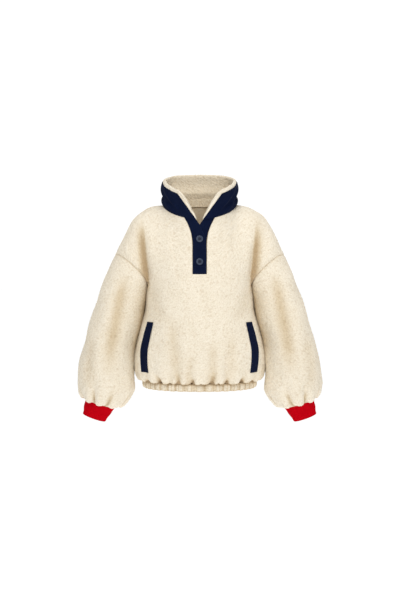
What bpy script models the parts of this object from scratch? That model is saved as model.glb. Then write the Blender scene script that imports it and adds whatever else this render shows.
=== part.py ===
"""A half-button sherpa sweatshirt, filled out as when it is worn, with nobody in it.

Metres, +Z up, the front towards -Y. The origin lies midway between the two high
shoulder points, at the base of the neck. Left and right are the wearer's: left is +X.

Every cloth piece is a wall between an outer and an inner grid of points. The front and
the back are torso sections up to the chest line and, above it, columns that climb to the
neckline, the shoulder seam or the armhole. A sleeve is a run of sections that starts on
the armhole. Pieces that meet share the points of their seam, half a gap to each side.
"""

import math

import bpy
import numpy as np

# Cloth thicknesses, pile included, and the gap left along every seam.
FLEECE = 0.0055
LINING = 0.0080
CASING = 0.0065
WOVEN = 0.0020
RIB_KNIT = 0.0028
SEAM_GAP = 0.0003

# The torso's outline at each height: height, half width, front depth, back depth.
TORSO = (
    (-0.5180, 0.1660, 0.122, 0.114),
    (-0.5120, 0.1790, 0.134, 0.125),
    (-0.5020, 0.1875, 0.144, 0.134),
    (-0.4860, 0.1930, 0.150, 0.139),
    (-0.4550, 0.1955, 0.154, 0.142),
    (-0.4150, 0.1890, 0.153, 0.139),
    (-0.3630, 0.1760, 0.148, 0.133),
    (-0.3000, 0.1590, 0.142, 0.126),
    (-0.2400, 0.1570, 0.136, 0.119),
)
SQUARENESS = 0.90  # below 1 the torso's sections are fuller than an ellipse
HEM_LINE = TORSO[0][0]
CHEST_LINE = TORSO[-1][0]

# The neckline seen from above, and how far its front drops and its back rises.
NECK_HALF_WIDTH = 0.110
NECK_FRONT = 0.098
NECK_BACK = 0.076
NECK_SIDE_HEIGHT = 0.003
NECK_DROP = 0.044
NECK_RISE = 0.003
NECK_SHARE = 0.40  # the share of a panel's top edge, from the centre, that is neckline
NECK_SEAM_STEEP = (0.10, 0.85)  # how steeply the seam runs down into the cloth: in front, at the sides

# The shoulder seam: share of the panel's top edge, x, z.
SHOULDER = (
    (0.400, NECK_HALF_WIDTH, NECK_SIDE_HEIGHT),
    (0.494, 0.1440, -0.003),
    (0.589, 0.1760, -0.018),
    (0.681, 0.2000, -0.041),
    (0.829, 0.2265, -0.090),
    (1.000, 0.2540, -0.147),
)

# The armhole, a slanting loop from the underarm point up to the end of the shoulder seam.
UNDERARM = (TORSO[-1][1], 0.0, CHEST_LINE)
ARMHOLE_TOP = (SHOULDER[-1][1], 0.0, SHOULDER[-1][2])
ARMHOLE_DEPTH = 0.066
ARMHOLE_BOW = 0.020  # how far the front and back of the loop curve in towards the neck
ARMHOLE_SHARE = 0.72  # from this share on, the panel's columns turn into the armhole's loop

# How the columns leave the shoulder: over this height at the neck, and this much more at the arm.
SHOULDER_FULLNESS = 0.071
SHOULDER_EXTRA = 0.014
NECK_LEAN = 0.28  # how far a column leans out for each step down, at the neckline
SHOULDER_DROP = 0.15  # how far it drops for each step out, at the shoulder seam

# A sleeve's sections: station, outer x, outer z, inner x, inner z, half depth, forward shift.
SLEEVE = (
    (1.0, 0.2870, -0.2220, 0.1650, -0.2880, 0.070, 0.002),
    (2.0, 0.3180, -0.3100, 0.1755, -0.3520, 0.076, 0.004),
    (3.0, 0.3430, -0.3960, 0.1940, -0.4250, 0.082, 0.007),
    (4.0, 0.3620, -0.4760, 0.1980, -0.4940, 0.087, 0.010),
    (4.7, 0.3655, -0.5220, 0.1970, -0.5400, 0.086, 0.012),
    (5.3, 0.3600, -0.5470, 0.2110, -0.5710, 0.079, 0.013),
    (5.8, 0.3490, -0.5660, 0.2335, -0.5955, 0.063, 0.014),
    (6.2, 0.3430, -0.5740, 0.2510, -0.6020, 0.046, 0.014),
)
SLEEVE_END = SLEEVE[-1][0]
SLEEVE_HANG = 0.0055  # how far the gathers at the sleeve's end hang over the cuff

# A cuff's sections: share of its length, outer x, outer z, inner x, inner z, half depth.
CUFF = (
    (0.00, 0.3430, -0.5740, 0.2510, -0.6020, 0.0460),
    (0.25, 0.3465, -0.5900, 0.2620, -0.6155, 0.0400),
    (1.00, 0.3520, -0.6210, 0.2830, -0.6460, 0.0285),
)
CUFF_ROWS = (0.0, 0.3, 1.0)
CUFF_TUCK = 0.004  # the length of cuff that is up inside the sleeve
CUFF_FORWARD = 0.014
CUFF_INSET = 3 * SEAM_GAP  # the cuff is this much narrower than the sleeve's end
RIBS = 72
RIB_HEIGHT = 0.0009

# Rows and columns of the grids.
TORSO_ROWS = (-0.518, -0.5125, -0.502, -0.487, -0.457, -0.420, -0.3805, -0.341, -0.290, -0.240)
CLIMBS = (0.0, 0.10, 0.20, 0.28, 0.36, 0.44, 0.52, 0.60, 0.68, 0.76, 0.84, 0.92, 1.0)
FRONT_NECK_COLUMNS = 6
BACK_NECK_COLUMNS = 7
SHOULDER_COLUMNS = 12
SLEEVE_ROWS = (0.0, 0.35, 0.8, 1.3, 1.9, 2.5, 3.1, 3.7, 4.2, 4.65, 5.0, 5.3, 5.55, 5.8, 6.0, 6.2)
CHEST_ROW = len(TORSO_ROWS) - 1
TOP_ROW = CHEST_ROW + len(CLIMBS) - 1

# The placket: half width, and how far the upper band's free edge lies past the centre front.
# Shares run from the chest line, 0, to the neckline, 1.
PLACKET_CLIMB = 2  # the climb that is the placket's lower end
PLACKET_EDGE = ((0.0, 0.0205), (0.62, 0.0205), (0.76, 0.0235), (0.89, 0.0325), (1.0, 0.0450))
PLACKET_FREE_EDGE = (
    (0.0, 0.0200),
    (0.60, 0.0200),
    (0.72, 0.0180),
    (0.84, 0.0085),
    (0.92, 0.0005),
    (1.0, -0.0110),
)
PLACKET_SINK = 0.0008  # the trim lies this far below the tips of the pile
PLACKET_CELLS = 4
BAND_CELLS = 3

# The pocket welts' edges: height, inner x, outer x. Only the rows between two of them are sewn on.
WELT_EDGES = (
    (-0.518, 0.1300, 0.1470),
    (-0.487, 0.1470, 0.1680),
    (-0.430, 0.1510, 0.1730),
    (-0.3805, 0.1435, 0.1640),
    (-0.341, 0.1350, 0.1530),
    (-0.240, 0.1220, 0.1390),
)
WELT_ROWS = (3, 7)
WELT_COLUMNS = (3, 5)  # the shoulder columns that follow the welt's edges

# The collar's rim: angle from the front, x, y, z.
COLLAR_RIM = (
    (5.0, 0.0650, -0.1040, 0.0310),
    (30.0, 0.0880, -0.0800, 0.0430),
    (60.0, 0.1060, -0.0400, 0.0580),
    (90.0, 0.1120, 0.0040, 0.0730),
    (135.0, 0.0830, 0.0630, 0.0880),
    (180.0, 0.0000, 0.0860, 0.0930),
    (225.0, -0.0830, 0.0630, 0.0880),
)
COLLAR_ROWS = (0.0, 0.2, 0.4, 0.6, 0.82, 1.0)
COLLAR_CREASE = 0.40  # height of the crease that runs round the collar
COLLAR_BULGE = 0.0050
LINING_RIM = 0.0060  # the lining stands this far past the collar's rim
LINING_EDGE = 0.0125  # and this far past its front edges, at the top
LINING_EDGE_LOW = 0.15  # the share of that at the neck seam
LINING_ROUNDING = 0.22  # the share of its thickness by which the rim narrows on either face

# Gathers: how many go round, and how deep and long they are.
HEM_GATHERS = 22
HEM_GATHER_DEPTH = 0.0056
HEM_GATHER_LENGTH = 0.040
CASING_WAVES = 40
CASING_WAVE_DEPTH = 0.0018
CASING_HEIGHT = 0.0225
# The casing's outer surface: share of its height from the top down, and how far it stands out.
CASING_PROFILE = ((0.0, 0.0020), (0.30, 0.0045), (0.78, 0.0035), (1.0, -0.0010))
CUFF_GATHERS = 8
CUFF_GATHER_DEPTH = 0.0045

# Long soft folds in the torso: x and z of the upper end, x and z of the lower end, width, depth.
FRONT_FOLDS = (
    (-0.082, -0.300, -0.064, -0.515, 0.017, 0.0065),
    (-0.026, -0.420, -0.030, -0.520, 0.011, 0.0045),
    (0.040, -0.370, 0.037, -0.520, 0.014, 0.0065),
    (0.096, -0.340, 0.086, -0.515, 0.016, 0.0045),
    (-0.148, -0.215, -0.108, -0.345, 0.018, 0.0035),
    (0.148, -0.215, 0.112, -0.340, 0.018, 0.0035),
    (-0.177, -0.045, -0.158, -0.235, 0.014, 0.0100),
    (0.173, -0.055, 0.158, -0.235, 0.014, 0.0090),
)
BACK_FOLDS = (
    (-0.100, -0.270, -0.080, -0.515, 0.020, 0.0055),
    (-0.018, -0.390, -0.012, -0.520, 0.013, 0.0045),
    (0.052, -0.330, 0.050, -0.520, 0.016, 0.0060),
    (0.145, -0.210, 0.100, -0.355, 0.018, 0.0035),
    (-0.140, -0.210, -0.112, -0.335, 0.018, 0.0030),
    (0.174, -0.050, 0.158, -0.235, 0.015, 0.0070),
    (-0.170, -0.060, -0.156, -0.235, 0.015, 0.0075),
)
# Folds along a sleeve: station and angle of the upper end, of the lower end, width in degrees, depth.
# Angles run from the outer side, 0, over the front, 90, to the inner side, 180.
SLEEVE_FOLDS = (
    (0.15, 82.0, 4.4, 106.0, 16.0, 0.0085),
    (2.6, 48.0, 5.2, 60.0, 14.0, 0.0035),
    (0.20, 280.0, 3.6, 262.0, 17.0, 0.0070),
    (2.8, 312.0, 5.2, 300.0, 14.0, 0.0035),
)

# The buttons.
BUTTON_HEIGHTS = {"button_top": -0.0986, "button_bottom": -0.1639}
BUTTON_RADIUS = 0.0103
BUTTON_THICKNESS = 0.0034
BUTTON_HOLE_RADIUS = 0.0011
BUTTON_HOLE_SPREAD = 0.0021
BUTTON_SIDES = 24
HOLE_SIDES = 8
# Turned from the middle of the face to the middle of the back: share of radius, share of thickness.
BUTTON_PROFILE = ((0.52, 0.62), (0.66, 0.80), (0.80, 1.0), (0.93, 0.94), (1.0, 0.60), (0.96, 0.22), (0.80, 0.0))

# Colours, linear.
CREAM = (0.80, 0.72, 0.58)
NAVY = (0.009, 0.015, 0.045)
RED = (0.50, 0.004, 0.010)
BUTTON_BLUE = (0.035, 0.050, 0.085)

UP = np.array((0.0, 0.0, 1.0))
FLIP = np.array((-1.0, 1.0, 1.0))


def ease(x):
    """0 below 0, 1 above 1, and a smooth step between."""
    x = min(1.0, max(0.0, x))
    return x * x * (3.0 - 2.0 * x)


def unit(v):
    return v / np.linalg.norm(v, axis=-1, keepdims=True)


def spline(at, table):
    """The smooth curve through a table's rows, whose first column is the station.

    Its slope at a row is zero where the values turn, so it never swings past them.
    """
    table = np.asarray(table, float)
    stations, values = table[:, 0], table[:, 1:]
    rates = np.diff(values, axis=0) / np.diff(stations)[:, None]
    slopes = np.concatenate([rates[:1], np.zeros_like(rates[1:]), rates[-1:]])
    steady = rates[:-1] * rates[1:] > 0
    slopes[1:-1][steady] = (2 * rates[:-1] * rates[1:])[steady] / (rates[:-1] + rates[1:])[steady]
    i = min(len(stations) - 2, max(0, int(np.searchsorted(stations, at)) - 1))
    h = stations[i + 1] - stations[i]
    t = (at - stations[i]) / h
    return (
        (1 + 2 * t) * (1 - t) ** 2 * values[i]
        + t * (1 - t) ** 2 * h * slopes[i]
        + t * t * (3 - 2 * t) * values[i + 1]
        + t * t * (t - 1) * h * slopes[i + 1]
    )


def bezier(p, t):
    s = 1 - t
    return s**3 * p[0] + 3 * s * s * t * p[1] + 3 * s * t * t * p[2] + t**3 * p[3]


def wave(angle, count, shift):
    """Uneven gathers round an opening: between -1 and 1, narrow in the troughs."""
    run = count * angle + 0.8 * math.sin(3 * angle + shift) + 0.5 * math.sin(7 * angle - shift)
    return 2 * (0.5 + 0.5 * math.cos(run)) ** 0.7 - 1


# The body's surface. A share runs from 0 at the centre to 1 at the side seam or armhole, and
# is negative on the wearer's right. A row runs up the grid. The face is -1 in front, 1 behind.


def torso_point(share, height, face):
    half_width, front_depth, back_depth = spline(height, TORSO)
    angle = share * math.pi / 2
    depth = front_depth if face < 0 else back_depth
    x = half_width * math.sin(angle) ** SQUARENESS
    y = face * depth * max(0.0, math.cos(angle)) ** SQUARENESS
    return np.array((x, y, height))


def neckline(angle):
    """The neckline at an angle in degrees, 0 at the front and 180 at the back."""
    a = math.radians(angle)
    ahead = math.cos(a)
    if abs(ahead) < 1e-9:
        ahead = 0.0
    depth = NECK_FRONT if ahead > 0 else NECK_BACK
    rise = -NECK_DROP * ahead**1.3 if ahead > 0 else NECK_RISE * ahead**2
    return np.array((NECK_HALF_WIDTH * math.sin(a), -depth * ahead, NECK_SIDE_HEIGHT + rise))


def neck_seam(angle):
    """The direction in which the neck seam runs into the cloth, from outside to inside."""
    a = math.radians(angle)
    in_front, at_sides = NECK_SEAM_STEEP
    steep = in_front + (at_sides - in_front) * ease((min(angle, 360 - angle) - 15) / 65)
    return unit(np.array((-math.sin(a), math.cos(a), -steep)))


def neck_angle(share, face):
    angle = 90 * share / NECK_SHARE
    return angle if face < 0 else 180 - angle


def top_point(share, face):
    """A panel's top edge: the neckline, then the shoulder seam."""
    if share <= NECK_SHARE:
        return neckline(neck_angle(share, face))
    x, z = spline(share, SHOULDER)
    return np.array((x, 0.0, z))


def chest_column(share, face):
    """The four control points of a column from the chest line to the panel's top edge."""
    low, high = torso_point(share, CHEST_LINE, face), top_point(share, face)
    reach = np.linalg.norm(high - low) / 3
    climb = low - torso_point(share, CHEST_LINE - 0.01, face)
    out = np.array((0.0, face, 0.0))
    loop = unit(np.array(ARMHOLE_TOP) - np.array(UNDERARM))
    bow = np.array((-loop[2], 0.0, loop[0])) * ARMHOLE_BOW
    armhole_pull = (out * ARMHOLE_DEPTH + bow) * 4 / 3
    into_armhole = ease((share - ARMHOLE_SHARE) / (1 - ARMHOLE_SHARE))
    low_pull = unit(climb) * reach * (1 - into_armhole) + armhole_pull * into_armhole
    onto_shoulder = ease(share / NECK_SHARE) ** 4
    flat = unit(out * NECK_LEAN - UP) * reach
    fullness = SHOULDER_FULLNESS + SHOULDER_EXTRA * ease((share - NECK_SHARE) / 0.4)
    rounded = unit(out - SHOULDER_DROP * UP) * fullness
    high_pull = flat * (1 - onto_shoulder) + rounded * onto_shoulder
    high_pull = high_pull * (1 - into_armhole) + armhole_pull * into_armhole
    return low, low + low_pull, high + high_pull, high


def fold_depth(x, z, folds):
    """How far the long folds press the cloth in at a place in the front view."""
    total = 0.0
    for x_top, z_top, x_low, z_low, width, depth in folds:
        along = (z_top - z) / (z_top - z_low)
        if 0 < along < 1.05:
            centre = x_top + (x_low - x_top) * along
            fade = ease(along * 2.2) * ease((1.05 - along) * 4)
            total += depth * fade * math.exp(-(((x - centre) / width) ** 2))
    return total


def body_point(share, row, face):
    """The body's outer surface. Half rows are fine."""
    side = -1 if share < 0 else 1
    if row <= CHEST_ROW:
        height = float(np.interp(row, range(len(TORSO_ROWS)), TORSO_ROWS))
        point = torso_point(abs(share), height, face)
    else:
        climb = float(np.interp(row - CHEST_ROW, range(len(CLIMBS)), CLIMBS))
        point = bezier(chest_column(abs(share), face), climb)
    point = point * np.array((side, 1, 1))
    angle = share * math.pi / 2 if face < 0 else math.pi - share * math.pi / 2
    length = HEM_GATHER_LENGTH * (1 + 0.45 * math.sin(5 * angle))
    fade = math.exp(-(((point[2] - HEM_LINE) / length) ** 1.3)) if point[2] > HEM_LINE else 1.0
    gathers = HEM_GATHER_DEPTH * wave(angle, HEM_GATHERS, 1.0) * fade
    clear_of_seam = ease((1 - abs(share)) / 0.12)
    folds = fold_depth(point[0], point[2], FRONT_FOLDS if face < 0 else BACK_FOLDS) * clear_of_seam
    outwards = unit(np.array((point[0], point[1] * 1.4, 0.0)))
    return point + outwards * (gathers - folds)


def body_normal(share, row, face):
    """The body's outward normal, from points close by."""
    across = body_point(min(1.0, share + 0.02), row, face) - body_point(max(-1.0, share - 0.02), row, face)
    along = body_point(share, min(TOP_ROW, row + 0.4), face) - body_point(share, max(0, row - 0.4), face)
    return unit(np.cross(across, along)) * -face


def share_at(x, row):
    """The share at which a row of the front reaches x. It has the sign of x."""
    low, high = 0.0, 1.0
    for _ in range(30):
        middle = (low + high) / 2
        low, high = (middle, high) if body_point(middle, row, -1)[0] < abs(x) else (low, middle)
    return math.copysign(low, x)


def climb_of(row):
    return CLIMBS[row - CHEST_ROW] if row > CHEST_ROW else 0.0


def placket_x(row):
    return float(spline(climb_of(row), PLACKET_EDGE)[0])


def armhole_seam(climb, face):
    """The direction in which the left armhole's seam runs into the cloth."""
    angle = climb * math.pi
    low, high = np.array((0.0, 0.0, 1.0)), np.array((-0.86, 0.0, -0.51))
    along = math.cos(angle)
    return unit((low if along > 0 else high) * abs(along) + np.array((0.0, -face, 0.0)) * math.sin(angle))


# Turning grids of points into closed walls.


def height_order(point):
    """A number that ranks a seam's points alike for both of the pieces that meet there."""
    return point[2] + 0.31 * abs(point[0]) + 0.17 * point[1]


def add_object(name, points, faces, material, smooth_angle=50):
    """A mesh object with its faces pointing out and its unused points left out."""
    used = sorted({v for face in faces for v in face})
    place = {v: n for n, v in enumerate(used)}
    points = np.asarray(points)[used]
    faces = [tuple(place[v] for v in face) for face in faces]
    volume = 0.0
    for face in faces:
        for b, c in zip(face[1:-1], face[2:]):
            volume += np.dot(points[face[0]], np.cross(points[b], points[c]))
    if volume < 0:
        faces = [face[::-1] for face in faces]
    mesh = bpy.data.meshes.new(name)
    mesh.from_pydata([tuple(p) for p in points], [], faces)
    mesh.shade_smooth()
    mesh.set_sharp_from_angle(angle=math.radians(smooth_angle))
    mesh.materials.append(material)
    obj = bpy.data.objects.new(name, mesh)
    bpy.context.scene.collection.objects.link(obj)
    obj.parent = bpy.data.objects["sweatshirt"]
    return obj


def grid_triangles(rows, columns, keep, wrap, start=0):
    """Triangles of a grid of points, leaving out the cells that keep says to leave out."""
    faces = []
    for i in range(rows - 1):
        for j in range(columns if wrap else columns - 1):
            if keep is None or keep(i, j):
                k = (j + 1) % columns
                a, b = start + i * columns + j, start + i * columns + k
                faces += [(a, b, b + columns), (a, b + columns, a + columns)]
    return faces


def open_edges(faces):
    """The directed edges that only one face has, in a fixed order."""
    edges = {(face[n], face[(n + 1) % 3]) for face in faces for n in range(3)}
    return [(a, b) for a, b in sorted(edges) if (b, a) not in edges]


def wall(name, outer, inner, material, keep=None, wrap=False):
    """A closed wall between two grids of the same size."""
    rows, columns = outer.shape[:2]
    points = np.concatenate([outer.reshape(-1, 3), inner.reshape(-1, 3)])
    count = rows * columns
    faces = grid_triangles(rows, columns, keep, wrap)
    back = [tuple(v + count for v in face[::-1]) for face in faces]
    rim = []
    for a, b in open_edges(faces):
        if height_order(points[a]) < height_order(points[b]):
            rim += [(b, a, b + count), (a, a + count, b + count)]
        else:
            rim += [(b, a, a + count), (b, a + count, b + count)]
    return add_object(name, points, faces + back + rim, material)


def ring_wall(name, outer, inner, material):
    """A tube between an outer grid and a plain inner one with a whole fraction of its columns."""
    rows, many = outer.shape[:2]
    few = inner.shape[1]
    step = many // few
    points = np.concatenate([outer.reshape(-1, 3), inner.reshape(-1, 3)])
    start = rows * many
    faces = grid_triangles(rows, many, None, True)
    faces += [face[::-1] for face in grid_triangles(rows, few, None, True, start)]
    for row, turn in ((0, 1), (rows - 1, -1)):
        for j in range(few):
            k = (j + 1) % few
            middle = row * many + j * step + step // 2
            near, far = start + row * few + j, start + row * few + k
            fans = [(near, row * many + j * step + n + 1, row * many + j * step + n) for n in range(step // 2)]
            fans.append((near, far, middle))
            for n in range(step // 2, step):
                fans.append((far, row * many + (j * step + n + 1) % many, row * many + j * step + n))
            faces += [fan[::turn] for fan in fans]
    return add_object(name, points, faces, material)


def part_seam(outer, inner, before, after, away):
    """A seam's edge, moved half the seam gap away from the piece that it meets."""
    side = unit(np.cross(unit(after - before), inner - outer))
    side *= np.where((side * away).sum(-1, keepdims=True) < 0, -1, 1)
    shift = side * SEAM_GAP / 2
    return outer + shift, inner + shift


# The front and the back.


def shoulder_shares(row):
    """Columns from the neck to the side. Two of them follow the pocket welt's edges."""
    shares = [NECK_SHARE + (1 - NECK_SHARE) * k / SHOULDER_COLUMNS for k in range(1, SHOULDER_COLUMNS + 1)]
    first, last = WELT_COLUMNS
    height = TORSO_ROWS[min(row, CHEST_ROW)]
    fade = 1 - ease(climb_of(row) * 2)
    inner_x, outer_x = spline(height, WELT_EDGES)
    low_row = min(row, CHEST_ROW)
    ends = [share_at(inner_x, low_row), share_at(outer_x, low_row)]
    for k in range(first, last + 1):
        wanted = ends[0] + (ends[1] - ends[0]) * (k - first) / (last - first)
        shares[k - 1] += (wanted - shares[k - 1]) * fade
    return shares


def front_shares(row):
    """The front's columns. The middle ones lie under the placket."""
    edge = share_at(placket_x(row), row)
    neck = [edge + (NECK_SHARE - edge) * k / FRONT_NECK_COLUMNS for k in range(1, FRONT_NECK_COLUMNS + 1)]
    side = [edge, *neck, *shoulder_shares(row)]
    half = PLACKET_CELLS // 2
    middle = [edge * k / half for k in range(-half + 1, half)]
    return [-s for s in side[::-1]] + middle + side


def back_shares(_row):
    neck = [NECK_SHARE * k / BACK_NECK_COLUMNS for k in range(1, BACK_NECK_COLUMNS + 1)]
    rest = [NECK_SHARE + (1 - NECK_SHARE) * k / SHOULDER_COLUMNS for k in range(1, SHOULDER_COLUMNS + 1)]
    return [-s for s in (neck + rest)[::-1]] + [0.0] + neck + rest


def in_placket(i, j):
    """True for the front's cells that the placket replaces."""
    first = FRONT_NECK_COLUMNS + SHOULDER_COLUMNS
    return i >= CHEST_ROW + PLACKET_CLIMB and first <= j < first + PLACKET_CELLS


def panel_inwards(share, row, face):
    """The vector from a panel's outer surface to its inner one."""
    if row > CHEST_ROW and abs(share) == 1:
        into = armhole_seam(climb_of(row), face)
        return FLEECE * (into if share > 0 else into * FLIP)
    if row == CHEST_ROW and abs(share) == 1:
        return FLEECE * UP
    if row == TOP_ROW and abs(share) <= NECK_SHARE + 1e-6:
        into = neck_seam(neck_angle(abs(share), face))
        return 1.15 * FLEECE * (into if share > 0 else into * FLIP)
    inwards = -body_normal(share, row, face)
    if row == 0:
        inwards[2] = 0
    if row == TOP_ROW or abs(share) == 1:
        inwards[1] = 0
    return FLEECE * unit(inwards)


def panel(name, shares_of, face, material, keep=None):
    """The front or the back, from the hem up to the neck."""
    shares = [shares_of(row) for row in range(TOP_ROW + 1)]
    outer = np.array([[body_point(s, row, face) for s in shares[row]] for row in range(TOP_ROW + 1)])
    inwards = np.array([[panel_inwards(s, row, face) for s in shares[row]] for row in range(TOP_ROW + 1)])
    inner = outer + inwards
    half_gap = np.array((0.0, face * SEAM_GAP / 2, 0.0))
    rims = {}
    for j in (0, -1):
        edge = outer[CHEST_ROW:, j]
        beyond = np.concatenate([edge[1:], edge[-2:-1] * np.array((1, -1, 1))])
        before = np.concatenate([edge[1:2] * np.array((1, -1, 1)), edge[:-1]])
        away = np.array((-1.0 if j else 1.0, 0.0, 0.6))
        rims[j] = part_seam(edge, inner[CHEST_ROW:, j], before, beyond, away)
    for j, (rim_outer, rim_inner) in rims.items():
        outer[CHEST_ROW:, j], inner[CHEST_ROW:, j] = rim_outer, rim_inner
    for grid in (outer, inner):
        grid[: CHEST_ROW + 1, [0, -1]] += half_gap
        for j, share in enumerate(shares[TOP_ROW]):
            if abs(share) > NECK_SHARE - 1e-6:
                grid[-1, j] += half_gap
            if abs(share) < NECK_SHARE + 1e-6:
                grid[-1, j] -= UP * SEAM_GAP / 2
    return wall(name, outer, inner, material, keep)


def layer(share, row, depth):
    """A point at a depth below the front's outer surface."""
    if row == TOP_ROW and abs(share) < NECK_SHARE:
        into = neck_seam(neck_angle(abs(share), -1))
        point = body_point(share, row, -1) + (into if share > 0 else into * FLIP) * depth
        return point - UP * SEAM_GAP / 2
    return body_point(share, row, -1) - body_normal(share, row, -1) * depth


def placket_band(name, side, depth, material):
    """One band of the placket. Side is -1 for the band sewn to the wearer's right edge."""
    rows = range(CHEST_ROW + PLACKET_CLIMB, TOP_ROW + 1)
    grids = [[], []]
    for row in rows:
        sewn = side * (placket_x(row) - 1.5 * SEAM_GAP)
        free = -side * float(spline(climb_of(row), PLACKET_FREE_EDGE)[0])
        shares = [share_at(sewn + (free - sewn) * k / BAND_CELLS, row) for k in range(BAND_CELLS + 1)]
        for grid, below in zip(grids, (depth, depth + WOVEN)):
            grid.append([layer(s, row, below) for s in shares])
    outer, inner = np.array(grids[0]), np.array(grids[1])
    for grid in (outer, inner):
        grid[0] += UP * SEAM_GAP
    return wall(name, outer, inner, material)


def welt(name, side, material):
    """A pocket's welt: the front's own points between the welt's edges, moved out."""
    first, last = WELT_COLUMNS
    grids = [[], []]
    for row in range(WELT_ROWS[0], WELT_ROWS[1] + 1):
        shares = sorted(side * s for s in shoulder_shares(row)[first - 1 : last])
        for grid, above in zip(grids, (SEAM_GAP + WOVEN, SEAM_GAP)):
            grid.append([layer(s, row, -above) for s in shares])
    return wall(name, np.array(grids[0]), np.array(grids[1]), material)


# The collar. Its columns stand on the columns of the bands, the front and the back.


def collar_angles():
    top = front_shares(TOP_ROW)
    middle = FRONT_NECK_COLUMNS + SHOULDER_COLUMNS + PLACKET_CELLS
    front = [neck_angle(s, -1) for s in top[middle:] if s < NECK_SHARE - 1e-6]
    free, sewn = -PLACKET_FREE_EDGE[-1][1], PLACKET_EDGE[-1][1]
    band = [free + (sewn - free) * k / BAND_CELLS for k in range(BAND_CELLS)]
    left = [math.degrees(math.asin(x / NECK_HALF_WIDTH)) for x in band] + front + [90.0]
    left += [90 + 90 * k / BACK_NECK_COLUMNS for k in range(1, BACK_NECK_COLUMNS + 1)]
    return left + [360 - a for a in left[-2::-1]]


def collar_point(angle, height):
    """The collar's outer surface. The height runs from 0 at the neck seam to 1 at the rim."""
    side, a = (1, angle) if angle <= 180 else (-1, 360 - angle)
    low, high = neckline(a), spline(a, COLLAR_RIM)
    outwards = unit(np.array((math.sin(math.radians(a)), -math.cos(math.radians(a)), 0.0)))
    below = math.sin(math.pi * min(1.0, height / COLLAR_CREASE)) if height < COLLAR_CREASE else 0.0
    past = max(0.0, height - COLLAR_CREASE) / (1 - COLLAR_CREASE)
    above = math.sin(math.pi * past)
    fullness = COLLAR_BULGE * (0.9 * below + above) * (0.35 + 0.65 * ease((a - 15) / 60))
    point = low + (high - low) * height + outwards * fullness
    return point * np.array((side, 1, 1))


def collar_layer(angle, height, depth):
    """A point at a depth inside the collar's outer surface."""
    if height == 0:
        a = min(angle, 360 - angle)
        into = neck_seam(a)
        side = 1 if angle <= 180 else -1
        return collar_point(angle, 0) + into * np.array((side, 1, 1)) * depth + UP * SEAM_GAP / 2
    first, last = collar_angles()[0], collar_angles()[-1]
    across = collar_point(min(last, angle + 2), height) - collar_point(max(first, angle - 2), height)
    along = collar_point(angle, min(1, height + 0.1)) - collar_point(angle, height - 0.1)
    return collar_point(angle, height) - unit(np.cross(across, along)) * depth


def collar_shell(material):
    angles = collar_angles()
    outer = np.array([[collar_layer(a, h, 0) for a in angles] for h in COLLAR_ROWS])
    inner = np.array([[collar_layer(a, h, WOVEN) for a in angles] for h in COLLAR_ROWS])
    return wall("collar_shell", outer, inner, material)


def with_edges(grid, reach):
    """A grid with one more column at either end, past its first and last ones."""
    first = grid[:, 0] + unit(grid[:, 0] - grid[:, 1]) * reach
    last = grid[:, -1] + unit(grid[:, -1] - grid[:, -2]) * reach
    return np.concatenate([first[:, None], grid, last[:, None]], axis=1)


def collar_lining(material):
    """The lining stands past the collar's rim and front edges, with its rim rounded over."""
    angles = collar_angles()
    near, far = WOVEN + SEAM_GAP, WOVEN + SEAM_GAP + LINING
    outer = np.array([[collar_layer(a, h, near) for a in angles] for h in COLLAR_ROWS])
    inner = np.array([[collar_layer(a, h, far) for a in angles] for h in COLLAR_ROWS])
    reach = LINING_EDGE * (LINING_EDGE_LOW + (1 - LINING_EDGE_LOW) * np.array(COLLAR_ROWS))[:, None]
    outer, inner = (with_edges(grid, reach) for grid in (outer, inner))
    rise = unit(outer[-1] - outer[-2]) * LINING_RIM
    through = (inner[-1] - outer[-1]) * LINING_ROUNDING
    outer = np.concatenate([outer, [outer[-1] + rise + through]])
    inner = np.concatenate([inner, [inner[-1] + rise - through]])
    return wall("collar_lining", outer, inner, material)


# Sleeves and cuffs, made on the wearer's left and mirrored for the right.


def section_point(section, angle, forward):
    """A point on a tilted elliptical section, 0 degrees at its outer side and 90 at its front."""
    x_out, z_out, x_in, z_in, depth = section
    outer, inner = np.array((x_out, 0.0, z_out)), np.array((x_in, 0.0, z_in))
    a = math.radians(angle)
    ahead = forward + depth * math.sin(a)
    return (outer + inner) / 2 + (outer - inner) / 2 * math.cos(a) - np.array((0.0, ahead, 0.0))


def section_axis(low, high):
    """The direction from the middle of one section to the middle of another."""
    middles = [section_point(s, 0, 0) + section_point(s, 180, 0) for s in (low, high)]
    return unit(middles[1] - middles[0])


CUFF_AXIS = section_axis(CUFF[0][1:], CUFF[-1][1:])


def sleeve_point(station, angle):
    """The sleeve's outer surface, from the armhole at station 0 to the cuff."""
    face, climb = (-1, 1 - angle / 180) if angle <= 180 else (1, (angle - 180) / 180)
    keys = [(0.0, *bezier(chest_column(1.0, face), climb))]
    for key, *section, forward in SLEEVE:
        keys.append((key, *section_point(section, angle, forward)))
    point = spline(station, keys)
    a = math.radians(angle)
    outwards = np.array((math.cos(a), -math.sin(a), 0.0))
    folds = 0.0
    for s_top, a_top, s_low, a_low, width, depth in SLEEVE_FOLDS:
        along = (station - s_top) / (s_low - s_top)
        if 0 < along < 1:
            apart = (angle - a_top - (a_low - a_top) * along + 180) % 360 - 180
            folds += depth * ease(along * 4) * ease((1 - along) * 2.5) * math.exp(-((apart / width) ** 2))
    gather = wave(a, CUFF_GATHERS, 2.0)
    end = ease((SLEEVE_END - station) / 0.35)
    puckers = CUFF_GATHER_DEPTH * gather * ease((station - 4.2) / 1.2) * end
    hang = SLEEVE_HANG * (gather + 0.3) * ease((station - 5.1) / 0.6) * end
    return point + outwards * (puckers - folds) + CUFF_AXIS * hang


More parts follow.
